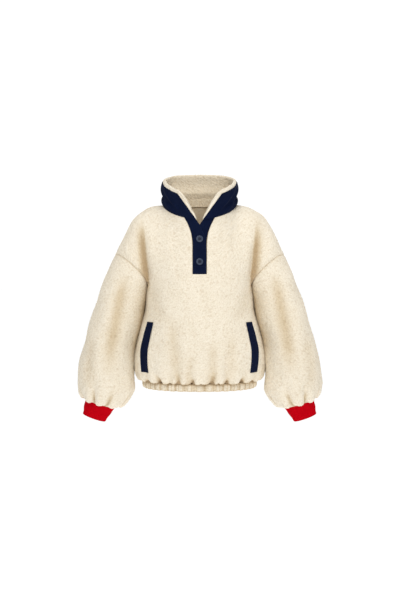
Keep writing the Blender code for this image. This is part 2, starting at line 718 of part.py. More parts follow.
def sleeve(name, side, material):
    front = [180 - 180 * climb for climb in CLIMBS[:-1]]
    angles = front + [(360 - 180 * (1 - climb)) % 360 for climb in CLIMBS[:0:-1]]
    outer = np.array([[sleeve_point(s, a) for a in angles] for s in SLEEVE_ROWS])
    across = np.roll(outer, -1, 1) - np.roll(outer, 1, 1)
    inwards = unit(np.cross(across, np.gradient(outer, axis=0)))
    if ((outer - outer.mean(1, keepdims=True)) * inwards).sum() > 0:
        inwards = -inwards
    for j, angle in enumerate(angles):
        face, climb = (-1, 1 - angle / 180) if 0 < angle <= 180 else (1, (angle - 180) / 180 if angle else 1.0)
        inwards[0, j] = armhole_seam(climb, face)
        inwards[-1, j] = -CUFF_AXIS
    inner = outer + inwards * FLEECE
    edge = outer[0].copy()
    away = np.array((1.0, 0.0, -0.6))
    outer[0], inner[0] = part_seam(edge, inner[0], np.roll(edge, 1, 0), np.roll(edge, -1, 0), away)
    turned = np.array((side, 1, 1))
    return wall(name, outer * turned, inner * turned, material, wrap=True)


def cuff(name, side, material):
    """A rib-knit tube. Its top is up inside the sleeve, and its inside is plain."""
    columns = 2 * RIBS
    plain_columns = RIBS // 2

    def ring(share, columns, inset, ribbed):
        section = spline(share, CUFF)
        points = []
        for n in range(columns):
            angle = 360 * n / columns
            point = section_point(section, angle, CUFF_FORWARD)
            centre = (section_point(section, 0, CUFF_FORWARD) + section_point(section, 180, CUFF_FORWARD)) / 2
            depth = inset + (RIB_HEIGHT * (n % 2) if ribbed else 0.0)
            points.append(point + unit(centre - point) * depth)
        return points

    tuck = -CUFF_AXIS * CUFF_TUCK
    outer = [np.array(ring(0.0, columns, CUFF_INSET, True)) + tuck]
    inner = [np.array(ring(0.0, plain_columns, RIB_KNIT + CUFF_INSET, False)) + tuck]
    for share in CUFF_ROWS:
        outer.append(np.array(ring(share, columns, CUFF_INSET, True)))
        inner.append(np.array(ring(share, plain_columns, RIB_KNIT + CUFF_INSET, False)))
    turned = np.array((side, 1, 1))
    return ring_wall(name, np.array(outer) * turned, np.array(inner) * turned, material)


def hem_casing(material):
    """The elastic casing round the hem, with its own small gathers."""
    columns = 4 * CASING_WAVES
    plain_columns = CASING_WAVES
    half_width, front_depth, back_depth = TORSO[0][1:]

    def ring(down, out, columns, waved):
        points = []
        for n in range(columns):
            a = 2 * math.pi * n / columns
            depth = front_depth if math.cos(a) > 0 else back_depth
            x = math.copysign(abs(math.sin(a)) ** SQUARENESS, math.sin(a)) * half_width
            y = -math.copysign(abs(math.cos(a)) ** SQUARENESS, math.cos(a)) * depth
            outwards = unit(np.array((x, y * 1.4, 0.0)))
            gathers = CASING_WAVE_DEPTH * wave(a, CASING_WAVES, 0.5) if waved else 0.0
            z = HEM_LINE - SEAM_GAP - CASING_HEIGHT * down
            points.append(np.array((x, y, z)) + outwards * (out + gathers))
        return points

    outer = np.array([ring(down, out, columns, True) for down, out in CASING_PROFILE])
    inner = np.array([ring(down, -CASING + 0.5 * out, plain_columns, False) for down, out in CASING_PROFILE])
    return ring_wall("hem_casing", outer, inner, material)


def button(name, height, material):
    """A dished button with four holes, lying flat on the placket's upper band."""
    row = CHEST_ROW
    while body_point(0.0, row, -1)[2] < height:
        row += 0.02
    normal = body_normal(0.0, row, -1)
    seat = layer(0.0, row, PLACKET_SINK - SEAM_GAP)
    side = unit(np.cross(UP, normal))
    up = np.cross(normal, side)
    rings = []
    for share, rise in BUTTON_PROFILE:
        radius = share * BUTTON_RADIUS
        ring = []
        for n in range(BUTTON_SIDES):
            a = 2 * math.pi * n / BUTTON_SIDES
            spoke = side * math.cos(a) + up * math.sin(a)
            ring.append(seat + spoke * radius + normal * rise * BUTTON_THICKNESS)
        rings.append(ring)
    points = np.array(rings).reshape(-1, 3)
    faces = []
    for i in range(len(rings) - 1):
        for n in range(BUTTON_SIDES):
            m = (n + 1) % BUTTON_SIDES
            a, b = i * BUTTON_SIDES + n, i * BUTTON_SIDES + m
            faces.append((a, b, b + BUTTON_SIDES, a + BUTTON_SIDES))
    last = (len(rings) - 1) * BUTTON_SIDES
    faces.append(tuple(range(BUTTON_SIDES))[::-1])
    faces.append(tuple(range(last, last + BUTTON_SIDES)))
    obj = add_object(name, points, faces, material, 35)
    for k in range(4):
        a = math.pi / 4 + k * math.pi / 2
        place = seat + (side * math.cos(a) + up * math.sin(a)) * BUTTON_HOLE_SPREAD
        cut_hole(obj, place, normal)
    return obj


def cut_hole(obj, place, axis):
    """Cuts a round hole through an object along an axis."""
    cutter = bpy.data.objects.new(f"{obj.name}_hole", bpy.data.meshes.new("hole"))
    bpy.context.scene.collection.objects.link(cutter)
    side = unit(np.cross(UP, axis))
    up = np.cross(axis, side)
    points = []
    for end in (-BUTTON_THICKNESS, 2 * BUTTON_THICKNESS):
        for n in range(HOLE_SIDES):
            a = 2 * math.pi * n / HOLE_SIDES
            spoke = side * math.cos(a) + up * math.sin(a)
            points.append(tuple(place + spoke * BUTTON_HOLE_RADIUS + axis * end))
    faces = [tuple(range(HOLE_SIDES))[::-1], tuple(range(HOLE_SIDES, 2 * HOLE_SIDES))]
    for n in range(HOLE_SIDES):
        m = (n + 1) % HOLE_SIDES
        faces.append((n, m, HOLE_SIDES + m, HOLE_SIDES + n))
    cutter.data.from_pydata(points, [], faces)
    cutter.hide_render = True
    cutter.display_type = "WIRE"
    cut = obj.modifiers.new("hole", "BOOLEAN")
    cut.object = cutter
    cut.operation = "DIFFERENCE"


def material(name, colour, roughness):
    made = bpy.data.materials.new(name)
    made.use_nodes = True
    shader = made.node_tree.nodes["Principled BSDF"]
    shader.inputs["Base Color"].default_value = (*colour, 1.0)
    shader.inputs["Roughness"].default_value = roughness
    made.diffuse_color = (*colour, 1.0)
    return made


def main():
    for obj in list(bpy.data.objects):
        bpy.data.objects.remove(obj)
    root = bpy.data.objects.new("sweatshirt", None)
    bpy.context.scene.collection.objects.link(root)
    cream = material("cream_sherpa", CREAM, 0.95)
    navy = material("navy_twill", NAVY, 0.75)
    red = material("red_rib_knit", RED, 0.85)
    blue = material("button_blue", BUTTON_BLUE, 0.45)
    panel("front", front_shares, -1, cream, keep=lambda i, j: not in_placket(i, j))
    panel("back", back_shares, 1, cream)
    hem_casing(cream)
    for end, side in (("left", 1), ("right", -1)):
        sleeve(f"sleeve_{end}", side, cream)
        cuff(f"cuff_{end}", side, red)
        welt(f"welt_{end}", side, navy)
    placket_band("placket_over", -1, PLACKET_SINK, navy)
    placket_band("placket_under", 1, PLACKET_SINK + WOVEN + SEAM_GAP, navy)
    collar_shell(navy)
    collar_lining(cream)
    for name, height in BUTTON_HEIGHTS.items():
        button(name, height, blue)


main()
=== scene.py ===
"""The looks of a half-button sherpa sweatshirt, filled out as worn, with nobody in it.

Each cloth piece stands for the solid of the same name: its outer surface is the solid's own,
read more finely, with the pile, the ribs or the weave raised on it. The first part repeats
the solids' shape; then come the pile, the pieces, the materials, the lights and the camera.
Metres, +Z up, the front towards -Y. Left and right are the wearer's: left is +X.
"""

import math

import bpy
import numpy as np
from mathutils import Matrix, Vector, kdtree

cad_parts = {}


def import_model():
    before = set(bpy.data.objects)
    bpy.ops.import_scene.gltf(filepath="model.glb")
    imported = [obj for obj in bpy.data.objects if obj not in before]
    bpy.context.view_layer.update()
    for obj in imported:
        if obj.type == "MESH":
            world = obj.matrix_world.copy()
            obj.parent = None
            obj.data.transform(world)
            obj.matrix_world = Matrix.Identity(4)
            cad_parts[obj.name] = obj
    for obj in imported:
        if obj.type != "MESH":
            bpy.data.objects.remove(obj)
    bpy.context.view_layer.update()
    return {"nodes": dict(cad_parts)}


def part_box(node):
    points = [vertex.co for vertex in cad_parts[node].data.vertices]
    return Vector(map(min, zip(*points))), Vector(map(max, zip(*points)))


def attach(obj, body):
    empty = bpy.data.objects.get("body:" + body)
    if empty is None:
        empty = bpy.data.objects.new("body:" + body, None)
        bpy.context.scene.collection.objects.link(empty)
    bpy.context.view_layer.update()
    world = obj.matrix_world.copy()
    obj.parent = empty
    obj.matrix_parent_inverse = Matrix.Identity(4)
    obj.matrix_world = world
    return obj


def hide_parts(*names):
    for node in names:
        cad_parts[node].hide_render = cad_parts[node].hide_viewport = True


# Cloth thicknesses, pile included, and the gap left along every seam.
FLEECE = 0.0055
LINING = 0.0080
CASING = 0.0065
WOVEN = 0.0020
RIB_KNIT = 0.0028
SEAM_GAP = 0.0003

# The pile: size of a curl, how far it stands out and how deep the gaps lie.
CURL = 0.0052
CLUMP = 0.0160
CURL_SWIRL = (0.16, 5.1)  # how far the curls' rows wander, in curls, and how often
CURL_REACH = 0.82
CURL_GAP = 0.30
PILE_OUT = 0.0014
PILE_IN = 0.0005
INSIDE_CURL = 1.1 * CURL
INSIDE_PILE = (0.55, 0.50)  # how high the inner pile stands, as a share: in the body, in the sleeves
FLAT_PILE = 0.0002  # how far in the pile lies under a welt
SEAM_SINK = 0.0009
SEAM_REACH = 0.0045
SEAM_CALM = 0.30  # the share of the pile that is left on a seam
SEAM_SHADE = (0.20, 0.06)  # painted shade along the armhole's seam: on its line, and on the cloth beside it
SEAM_SHADE_REACH = (0.0022, 0.010)
INSIDE_PAINTED_SHADE = 0.38  # how much painted shade the inside gets, from 0 to 1

# The torso's outline at each height: height, half width, front depth, back depth.
TORSO = (
    (-0.5180, 0.1660, 0.122, 0.114),
    (-0.5120, 0.1790, 0.134, 0.125),
    (-0.5020, 0.1875, 0.144, 0.134),
    (-0.4860, 0.1930, 0.150, 0.139),
    (-0.4550, 0.1955, 0.154, 0.142),
    (-0.4150, 0.1890, 0.153, 0.139),
    (-0.3630, 0.1760, 0.148, 0.133),
    (-0.3000, 0.1590, 0.142, 0.126),
    (-0.2400, 0.1570, 0.136, 0.119),
)
SQUARENESS = 0.90  # below 1 the torso's sections are fuller than an ellipse
HEM_LINE = TORSO[0][0]
CHEST_LINE = TORSO[-1][0]

# The neckline, the shoulder seam and the armhole.
NECK_HALF_WIDTH = 0.110
NECK_FRONT = 0.098
NECK_BACK = 0.076
NECK_SIDE_HEIGHT = 0.003
NECK_DROP = 0.044
NECK_RISE = 0.003
NECK_SHARE = 0.40  # the share of a panel's top edge, from the centre, that is neckline
NECK_SEAM_STEEP = (0.10, 0.85)  # how steeply the seam runs down into the cloth: in front, at the sides
# The shoulder seam: share of the panel's top edge, x, z.
SHOULDER = (
    (0.400, NECK_HALF_WIDTH, NECK_SIDE_HEIGHT),
    (0.494, 0.1440, -0.003),
    (0.589, 0.1760, -0.018),
    (0.681, 0.2000, -0.041),
    (0.829, 0.2265, -0.090),
    (1.000, 0.2540, -0.147),
)
UNDERARM = (TORSO[-1][1], 0.0, CHEST_LINE)
ARMHOLE_TOP = (SHOULDER[-1][1], 0.0, SHOULDER[-1][2])
ARMHOLE_DEPTH = 0.066
ARMHOLE_BOW = 0.020  # how far the front and back of the loop curve in towards the neck
ARMHOLE_SHARE = 0.72  # from this share on, the panel's columns turn into the armhole's loop
UNDERARM_SEAM = (-0.86, 0.0, -0.51)  # the seam's direction into the cloth, under the arm

# How the columns leave the shoulder: over this height at the neck, and this much more at the arm.
SHOULDER_FULLNESS = 0.071
SHOULDER_EXTRA = 0.014
NECK_LEAN = 0.28  # how far a column leans out for each step down, at the neckline
SHOULDER_DROP = 0.15  # how far it drops for each step out, at the shoulder seam

# A sleeve's sections: station, outer x, outer z, inner x, inner z, half depth, forward shift.
SLEEVE = (
    (1.0, 0.2870, -0.2220, 0.1650, -0.2880, 0.070, 0.002),
    (2.0, 0.3180, -0.3100, 0.1755, -0.3520, 0.076, 0.004),
    (3.0, 0.3430, -0.3960, 0.1940, -0.4250, 0.082, 0.007),
    (4.0, 0.3620, -0.4760, 0.1980, -0.4940, 0.087, 0.010),
    (4.7, 0.3655, -0.5220, 0.1970, -0.5400, 0.086, 0.012),
    (5.3, 0.3600, -0.5470, 0.2110, -0.5710, 0.079, 0.013),
    (5.8, 0.3490, -0.5660, 0.2335, -0.5955, 0.063, 0.014),
    (6.2, 0.3430, -0.5740, 0.2510, -0.6020, 0.046, 0.014),
)
SLEEVE_END = SLEEVE[-1][0]

# A cuff's sections: share of its length, outer x, outer z, inner x, inner z, half depth.
CUFF = (
    (0.00, 0.3430, -0.5740, 0.2510, -0.6020, 0.0460),
    (0.25, 0.3465, -0.5900, 0.2620, -0.6155, 0.0400),
    (1.00, 0.3520, -0.6210, 0.2830, -0.6460, 0.0285),
)
CUFF_TUCK = 0.004  # how far the cuff's top goes up into the sleeve
CUFF_FORWARD = 0.014
CUFF_SLACK = 0.0009  # how far its knit sags in and out
CUFF_TURN_IN = 0.0012  # how far its end turns in
CUFF_INSET = 3 * SEAM_GAP  # how far it lies inside these sections
RIBS = 72
RIB_HEIGHT = 0.0012

# Row numbers of the body's grid: heights up to the chest line, then climbs to the top edge.
TORSO_ROWS = (-0.518, -0.5125, -0.502, -0.487, -0.457, -0.420, -0.3805, -0.341, -0.290, -0.240)
CLIMBS = (0.0, 0.10, 0.20, 0.28, 0.36, 0.44, 0.52, 0.60, 0.68, 0.76, 0.84, 0.92, 1.0)
CHEST_ROW = len(TORSO_ROWS) - 1
TOP_ROW = CHEST_ROW + len(CLIMBS) - 1

# The placket. Its edges are shares of the front at each climb: the sewn edge, and a band's free edge.
PLACKET_BOTTOM = 0.20
PLACKET_EDGE = ((0.0, 0.0205), (0.62, 0.0205), (0.76, 0.0235), (0.89, 0.0325), (1.0, 0.0450))
PLACKET_FREE_EDGE = (
    (0.0, 0.0200),
    (0.60, 0.0200),
    (0.72, 0.0180),
    (0.84, 0.0085),
    (0.92, 0.0005),
    (1.0, -0.0110),
)
PLACKET_SINK = 0.0008
PLACKET_LIFT = 0.8 * SEAM_GAP  # how far the bands' tops go up towards the collar
PLACKET_SWELL = (0.0004, 0.028)  # how high and how long the swells in its cloth are
PLACKET_STITCHED = (0.02, 0.97)  # where the topstitching starts and ends, as shares of a band's length
PLACKET_CROSSINGS = (2, 12)  # the rows at which it crosses the upper band
PLACKET_STITCH_SINK = 0.0003
BUTTON_RADIUS = 0.0103
TRIM_SEAMS = (0.08, 0.92)  # where the bands' topstitching runs, in shares of their width
TRIM_SEAM_DEPTH = 0.00035
TRIM_EDGE = 0.0009  # how rounded the edges of the bands and of the collar are
TRIM_SHARP = 60  # the angle in degrees from which an edge of the navy cloth looks sharp

# The pocket welts: height, x of the inner edge, x of the outer edge.
WELT_EDGES = (
    (-0.518, 0.1300, 0.1470),
    (-0.487, 0.1470, 0.1680),
    (-0.430, 0.1510, 0.1730),
    (-0.3805, 0.1435, 0.1640),
    (-0.341, 0.1350, 0.1530),
    (-0.240, 0.1220, 0.1390),
)
WELT_ENDS = (-0.487, -0.341)
WELT_SEAMS = (0.12, 0.88)
WELT_EDGE = 0.0011
WELT_RAISED = SEAM_GAP + WOVEN
WELT_CROSSINGS = (3, -4)  # the rows at which the topstitching crosses a welt
WELT_PUCKER = (0.0003, 0.011)  # how high and how far apart the puckers along a welt are
WELT_BED = (0.002, 0.003)  # the pile lies flat this far past a welt, and rises again over this

# The collar's rim: angle from the front, x, y, z.
COLLAR_RIM = (
    (5.0, 0.0650, -0.1040, 0.0310),
    (30.0, 0.0880, -0.0800, 0.0430),
    (60.0, 0.1060, -0.0400, 0.0580),
    (90.0, 0.1120, 0.0040, 0.0730),
    (135.0, 0.0830, 0.0630, 0.0880),
    (180.0, 0.0000, 0.0860, 0.0930),
    (225.0, -0.0830, 0.0630, 0.0880),
)
COLLAR_CREASE = 0.40  # the share of its height at which the collar bends
COLLAR_BULGE = 0.0050
COLLAR_CREASE_DEPTH = 0.0006
COLLAR_SEAM = (0.92, 0.0003)  # the topstitching under the rim: share of the height, depth
COLLAR_LAP = 0.0012  # how far the collar's lower edge comes down over the placket's bands
LINING_RIM = 0.0060  # the lining stands this far past the collar's rim
LINING_EDGE = 0.0125  # and this far past its front edges, at the top
LINING_EDGE_LOW = 0.15  # the share of that at the neck seam
LINING_NEAR = WOVEN + SEAM_GAP  # how far its outside and its inside lie below the collar's surface
LINING_FAR = LINING_NEAR + LINING
LINING_CAP = 5  # steps in which its front edges are rounded
LINING_CAP_END = 0.02  # the share of its thickness at which they end
LINING_PILE = 1.1 * PILE_OUT
LINING_SHADE = (0.115, 0.14)  # painted shade on the inside, from this height down, over this depth
RIM_RISE = 0.0010  # how much further the pile stands along the whole rim
RIM_PILE = 0.0040  # and at the front of the rim
EDGE_PILE = 1.36  # and at the V, as a multiple of the edge

# Gathers.
HEM_GATHERS = 22
HEM_GATHER_DEPTH = 0.0056
HEM_GATHER_LENGTH = 0.040
CASING_WAVES = 40
CASING_WAVE_DEPTH = 0.0018
CASING_HEIGHT = 0.0225
# How far the casing stands out: share of its height, distance.
CASING_PROFILE = ((0.0, 0.0020), (0.12, 0.0036), (0.5, 0.0050), (0.88, 0.0030), (1.0, -0.0010))
CASING_FINE_DEPTH = 0.0007
CASING_UNEVEN = (0.0006, 0.0003)  # how uneven the pleats and the fine pleats leave its lower edge
CUFF_GATHERS = 8
CUFF_GATHER_DEPTH = 0.0045
CUFF_HANG = 0.0055  # how far the gathers hang over the cuff

# Long soft folds in the torso: x and z of the upper end, x and z of the lower end, width, depth.
FRONT_FOLDS = (
    (-0.082, -0.300, -0.064, -0.515, 0.017, 0.0065),
    (-0.026, -0.420, -0.030, -0.520, 0.011, 0.0045),
    (0.040, -0.370, 0.037, -0.520, 0.014, 0.0065),
    (0.096, -0.340, 0.086, -0.515, 0.016, 0.0045),
    (-0.148, -0.215, -0.108, -0.345, 0.018, 0.0035),
    (0.148, -0.215, 0.112, -0.340, 0.018, 0.0035),
    (-0.177, -0.045, -0.158, -0.235, 0.014, 0.0100),
    (0.173, -0.055, 0.158, -0.235, 0.014, 0.0090),
)
BACK_FOLDS = (
    (-0.100, -0.270, -0.080, -0.515, 0.020, 0.0055),
    (-0.018, -0.390, -0.012, -0.520, 0.013, 0.0045),
    (0.052, -0.330, 0.050, -0.520, 0.016, 0.0060),
    (0.145, -0.210, 0.100, -0.355, 0.018, 0.0035),
    (-0.140, -0.210, -0.112, -0.335, 0.018, 0.0030),
    (0.174, -0.050, 0.158, -0.235, 0.015, 0.0070),
    (-0.170, -0.060, -0.156, -0.235, 0.015, 0.0075),
)
# Folds along a sleeve: station and angle of the upper end, of the lower end, width in degrees, depth.
SLEEVE_FOLDS = (
    (0.15, 82.0, 4.4, 106.0, 16.0, 0.0085),
    (2.6, 48.0, 5.2, 60.0, 14.0, 0.0035),
    (0.20, 280.0, 3.6, 262.0, 17.0, 0.0070),
    (2.8, 312.0, 5.2, 300.0, 14.0, 0.0035),
)
# Folds in the collar: angle and height of the upper end, of the lower end, width in degrees, depth.
# A depth below 0 is a ridge.
COLLAR_FOLDS = (
    (62.0, 0.92, 30.0, 0.12, 5.5, 0.0014),
    (50.0, 0.95, 19.0, 0.12, 5.0, -0.0028),
    (78.0, 0.88, 42.0, 0.08, 6.0, -0.0026),
    (92.0, 0.66, 58.0, 0.20, 6.0, 0.0012),
    (128.0, 0.85, 118.0, 0.20, 6.0, 0.0012),
    (168.0, 0.75, 176.0, 0.15, 6.0, 0.0012),
)

# Creases that the elastic draws into the puffs above the hem, in columns like the long folds'.
HEM_CREASES_FRONT = (
    (-0.156, -0.500, -0.142, -0.540, 0.0060, 0.0065),
    (-0.128, -0.484, -0.100, -0.540, 0.0055, 0.0072),
    (-0.088, -0.504, -0.080, -0.540, 0.0040, 0.0040),
    (-0.064, -0.474, -0.060, -0.540, 0.0065, 0.0075),
    (-0.022, -0.486, -0.019, -0.540, 0.0055, 0.0070),
    (0.004, -0.505, 0.003, -0.540, 0.0040, 0.0038),
    (0.043, -0.476, 0.029, -0.540, 0.0065, 0.0078),
    (0.056, -0.502, 0.050, -0.540, 0.0040, 0.0045),
    (0.082, -0.490, 0.072, -0.540, 0.0055, 0.0068),
    (0.130, -0.488, 0.110, -0.540, 0.0055, 0.0070),
    (0.158, -0.500, 0.140, -0.540, 0.0060, 0.0060),
)
HEM_CREASES_BACK = (
    (-0.152, -0.492, -0.138, -0.540, 0.0060, 0.0066),
    (-0.110, -0.470, -0.100, -0.540, 0.0055, 0.0074),
    (-0.078, -0.506, -0.076, -0.540, 0.0040, 0.0042),
    (-0.046, -0.476, -0.044, -0.540, 0.0060, 0.0072),
    (-0.010, -0.500, -0.008, -0.540, 0.0045, 0.0050),
    (0.030, -0.468, 0.028, -0.540, 0.0062, 0.0074),
    (0.058, -0.504, 0.056, -0.540, 0.0042, 0.0044),
    (0.098, -0.482, 0.086, -0.540, 0.0058, 0.0070),
    (0.148, -0.494, 0.130, -0.540, 0.0055, 0.0066),
)
# The valley between an arm and the chest, which gets painted shade: x and z of its ends, at its edge towards
# the chest.
ARM_VALLEY = (0.1705, -0.022, 0.151, -0.245)
VALLEY_WIDTHS = (0.015, 0.004)  # how far the painted shade reaches towards the arm and towards the chest
VALLEY_SHADE = (0.80, 0.45)  # how dark the valley's painted shade is in front and behind
PUFF_DROP = 0.0060  # how far the puffs hang over the top of the casing
PUFF_RISE = 0.006  # the height above the hem at which a puff is full
PUFF_TOP = (0.008, 0.030)  # the height at which it starts to level out, and the height that takes
PUFF_LEAST = 0.35  # the share of the drop that is left in a crease
CREASE_FULL = 0.006  # the depth of a crease from which it divides two puffs
HEM_FLAT = 0.004  # the creases start over this height above the hem
SIDE_FULLNESS = 0.0034  # the pile of the sides and of the sleeves meets in between
BODY_SWELL = (0.0022, 0.085)  # how high and how long the slow swells in the cloth are
SLEEVE_SWELL = (0.0025, 0.080)

# Painted shade where the cloth lies deep: in hem creases, in gathers and under the puffs.
HEM_SHADES = (0.95, 0.30, 0.80)
HEM_SHADE_DEPTH = 0.0075  # the crease depth that gives the full painted shade
HEM_SHADE_HEIGHTS = (0.016, 0.022, 0.010)  # how far up from the hem each of them reaches
FOLD_SHADE = (0.40, 0.010)  # in a long fold, and the depth of fold that gives it
SIDE_SHADE = 0.20  # on the body's sides, under the arms
GATHER_SHADE = 0.75  # between the gathers at the cuffs
SLEEVE_FOLD_SHADE = 60  # for each metre of a sleeve fold's depth
INNER_ARM_SHADES = ((0.32, 48), (0.50, 26))  # on a sleeve's inner side: shade, reach in degrees

# Stitches: radius, length and gap. A stitch is a short tube through rings of (place, thickness).
TOPSTITCH = (0.00035, 0.0026, 0.0009)
STITCH_RINGS = ((-0.5, 0.35), (-0.3, 1.0), (0.3, 1.0), (0.5, 0.35))
STITCH_SIDES = 6
STITCH_FLATNESS = 0.8
STITCH_RISE = 0.45  # how far a stitch lies above the cloth, in radii
BUTTON_STITCH = (0.0003, 0.0040, 0.0100)
BUTTON_BARS = (-0.0015, -0.0011, 0.0011, 0.0015)  # two bars of two threads, left and right of the middle
BAR_REACH = 0.0021  # half a bar's length
BAR_HEIGHT = 0.0008  # how far it lies in front of the button's middle
BAR_DIP = 0.0016  # how far its ends go down into the holes

# Rows and columns of the fine grids. All are even, because an inner grid has half of each.
BODY_LOW_ROWS = 150
BODY_HIGH_ROWS = 130
FRONT_SIDE_COLUMNS = 124
FRONT_MIDDLE_COLUMNS = 22
BACK_COLUMNS = 270
SLEEVE_GRID = (246, 262)
CASING_GRID = (20, 800)
CUFF_GRID = (30, 6 * RIBS)
SHELL_GRID = (44, 240)
SHELL_STEPS = (0.0021, 0.0026)  # how far apart its rows and columns are
BAND_GRID = (90, 20)
WELT_GRID = (80, 16)
STRIP_STEPS = (0.0018, 0.0020)  # the same for the bands and the welts
LINING_ROWS = (46, 12, 10, 4)  # up the inside, over the rim, down the outside, along the bottom
LINING_COLUMNS = 280
SMOOTH_REACH = 7  # columns over which a panel is smoothed, and more beside the neck
NECK_SMOOTH_REACH = 20

# The factors that turn a cell of the pile's lattice into a number that looks random.
HASH_CELL = (73856093, 19349663, 83492791)
HASH_SEED = 2654435761
HASH_MIX = 0xBF58476D1CE4E5B9

UP = np.array((0.0, 0.0, 1.0))
FLIP = np.array((-1.0, 1.0, 1.0))
TORSO_SPREAD = np.array((1.0, 1.4, 0.0))  # turns a place on the torso into its rough outward direction
FRONT, BACK = -1, 1  # the two panels, by the sign of their y
FOLDS = {FRONT: FRONT_FOLDS, BACK: BACK_FOLDS}
HEM_CREASES = {FRONT: HEM_CREASES_FRONT, BACK: HEM_CREASES_BACK}


# Small tools.


def ease(x):
    """0 below 0, 1 above 1, and a smooth step between."""
    x = np.clip(x, 0.0, 1.0)
    return x * x * (3.0 - 2.0 * x)


def bell(apart, width):
    """1 in the middle, and a smooth fall over a width on both sides."""
    return np.exp(-((apart / width) ** 2))


def faded(along, start, end, past=0.0):
    """How strong a fold is along its length: it fades in at its top and out at its lower end."""
    return ease(along * start) * ease((1 + past - along) * end)


def from_front(angle):
    """An angle round the neck, measured either way from the front."""
    return np.minimum(angle, 360 - angle)


def unit(v):
    return v / np.maximum(np.linalg.norm(v, axis=-1, keepdims=True), 1e-12)


def vectors(x, y, z):
    return np.stack(np.broadcast_arrays(x, y, z), -1).astype(float)


def spline(at, table):
    """The smooth curve through a table's rows, whose first column is the station."""
    table = np.asarray(table, float)
    stations, values = table[:, 0], table[:, 1:]
    rates = np.diff(values, axis=0) / np.diff(stations)[:, None]
    slopes = np.concatenate([rates[:1], np.zeros_like(rates[1:]), rates[-1:]])
    steady = rates[:-1] * rates[1:] > 0
    slopes[1:-1][steady] = (2 * rates[:-1] * rates[1:])[steady] / (rates[:-1] + rates[1:])[steady]
    at = np.asarray(at, float)
    i = np.clip(np.searchsorted(stations, at) - 1, 0, len(stations) - 2)
    h = (stations[i + 1] - stations[i])[..., None]
    t = (at - stations[i])[..., None] / h
    return (
        (1 + 2 * t) * (1 - t) ** 2 * values[i]
        + t * (1 - t) ** 2 * h * slopes[i]
        + t * t * (3 - 2 * t) * values[i + 1]
        + t * t * (t - 1) * h * slopes[i + 1]
    )


def bezier(p, t):
    s = 1 - t
    return s**3 * p[0] + 3 * s * s * t * p[1] + 3 * s * t * t * p[2] + t**3 * p[3]


def wave(angle, count, shift):
    """Uneven gathers round an opening: between -1 and 1, narrow in the troughs."""
    run = count * angle + 0.8 * np.sin(3 * angle + shift) + 0.5 * np.sin(7 * angle - shift)
    return 2 * (0.5 + 0.5 * np.cos(run)) ** 0.7 - 1


# The body's surface, as the solids have it. Shares and rows are arrays.


def torso_point(share, height, face):
    half_width, front_depth, back_depth = np.moveaxis(spline(height, TORSO), -1, 0)
    angle = share * math.pi / 2
    depth = front_depth if face < 0 else back_depth
    x = half_width * np.sin(angle) ** SQUARENESS
    y = face * depth * np.maximum(0.0, np.cos(angle)) ** SQUARENESS
    return vectors(x, y, height)


def neckline(angle):
    """The neckline at an angle in degrees, 0 at the front and 180 at the back."""
    a = np.radians(angle)
    ahead = np.cos(a)
    ahead = np.where(np.abs(ahead) < 1e-9, 0.0, ahead)
    depth = np.where(ahead > 0, NECK_FRONT, NECK_BACK)
    rise = np.where(ahead > 0, -NECK_DROP * np.abs(ahead) ** 1.3, NECK_RISE * ahead**2)
    return vectors(NECK_HALF_WIDTH * np.sin(a), -depth * ahead, NECK_SIDE_HEIGHT + rise)


def neck_seam(angle):
    """The direction in which the neck seam runs into the cloth, from outside to inside."""
    a = np.radians(angle)
    front, sides = NECK_SEAM_STEEP
    steep = front + (sides - front) * ease((from_front(angle) - 15) / 65)
    return unit(vectors(-np.sin(a), np.cos(a), -steep))


def neck_angle(share, face):
    angle = 90 * share / NECK_SHARE
    return angle if face < 0 else 180 - angle


def top_point(share, face):
    """A panel's top edge: the neckline, then the shoulder seam."""
    x, z = np.moveaxis(spline(np.maximum(share, NECK_SHARE), SHOULDER), -1, 0)
    at_neck = (share <= NECK_SHARE)[..., None]
    return np.where(at_neck, neckline(neck_angle(np.minimum(share, NECK_SHARE), face)), vectors(x, 0.0, z))


def chest_column(share, face):
    """The four control points of a column from the chest line to the panel's top edge."""
    low, high = torso_point(share, np.full(share.shape, CHEST_LINE), face), top_point(share, face)
    reach = np.linalg.norm(high - low, axis=-1, keepdims=True) / 3
    climb = low - torso_point(share, np.full(share.shape, CHEST_LINE - 0.01), face)
    out = np.array((0.0, face, 0.0))
    loop = unit(np.array(ARMHOLE_TOP) - np.array(UNDERARM))
    bow = np.array((-loop[2], 0.0, loop[0])) * ARMHOLE_BOW
    armhole_pull = (out * ARMHOLE_DEPTH + bow) * 4 / 3
    into_armhole = ease((share - ARMHOLE_SHARE) / (1 - ARMHOLE_SHARE))[..., None]
    low_pull = unit(climb) * reach * (1 - into_armhole) + armhole_pull * into_armhole
    onto_shoulder = ease(share / NECK_SHARE)[..., None] ** 4
    flat = unit(out * NECK_LEAN - UP) * reach
    length = SHOULDER_FULLNESS + SHOULDER_EXTRA * ease((share - NECK_SHARE) / 0.4)
    rounded = unit(out - SHOULDER_DROP * UP) * length[..., None]
    high_pull = flat * (1 - onto_shoulder) + rounded * onto_shoulder
    high_pull = high_pull * (1 - into_armhole) + armhole_pull * into_armhole
    return low, low + low_pull, high + high_pull, high


def fold_depth(x, z, folds):
    """How far the long folds press the cloth in at a place in the front view."""
    total = np.zeros(np.shape(x))
    for x_top, z_top, x_low, z_low, width, depth in folds:
        along = (z_top - z) / (z_top - z_low)
        centre = x_top + (x_low - x_top) * along
        total += depth * faded(along, 2.2, 4, 0.05) * bell(x - centre, width)
    return total


def round_torso(share, face):
    """The angle round the torso at a share of a panel, 0 in the middle of the front."""
    return share * math.pi / 2 if face == FRONT else math.pi - share * math.pi / 2


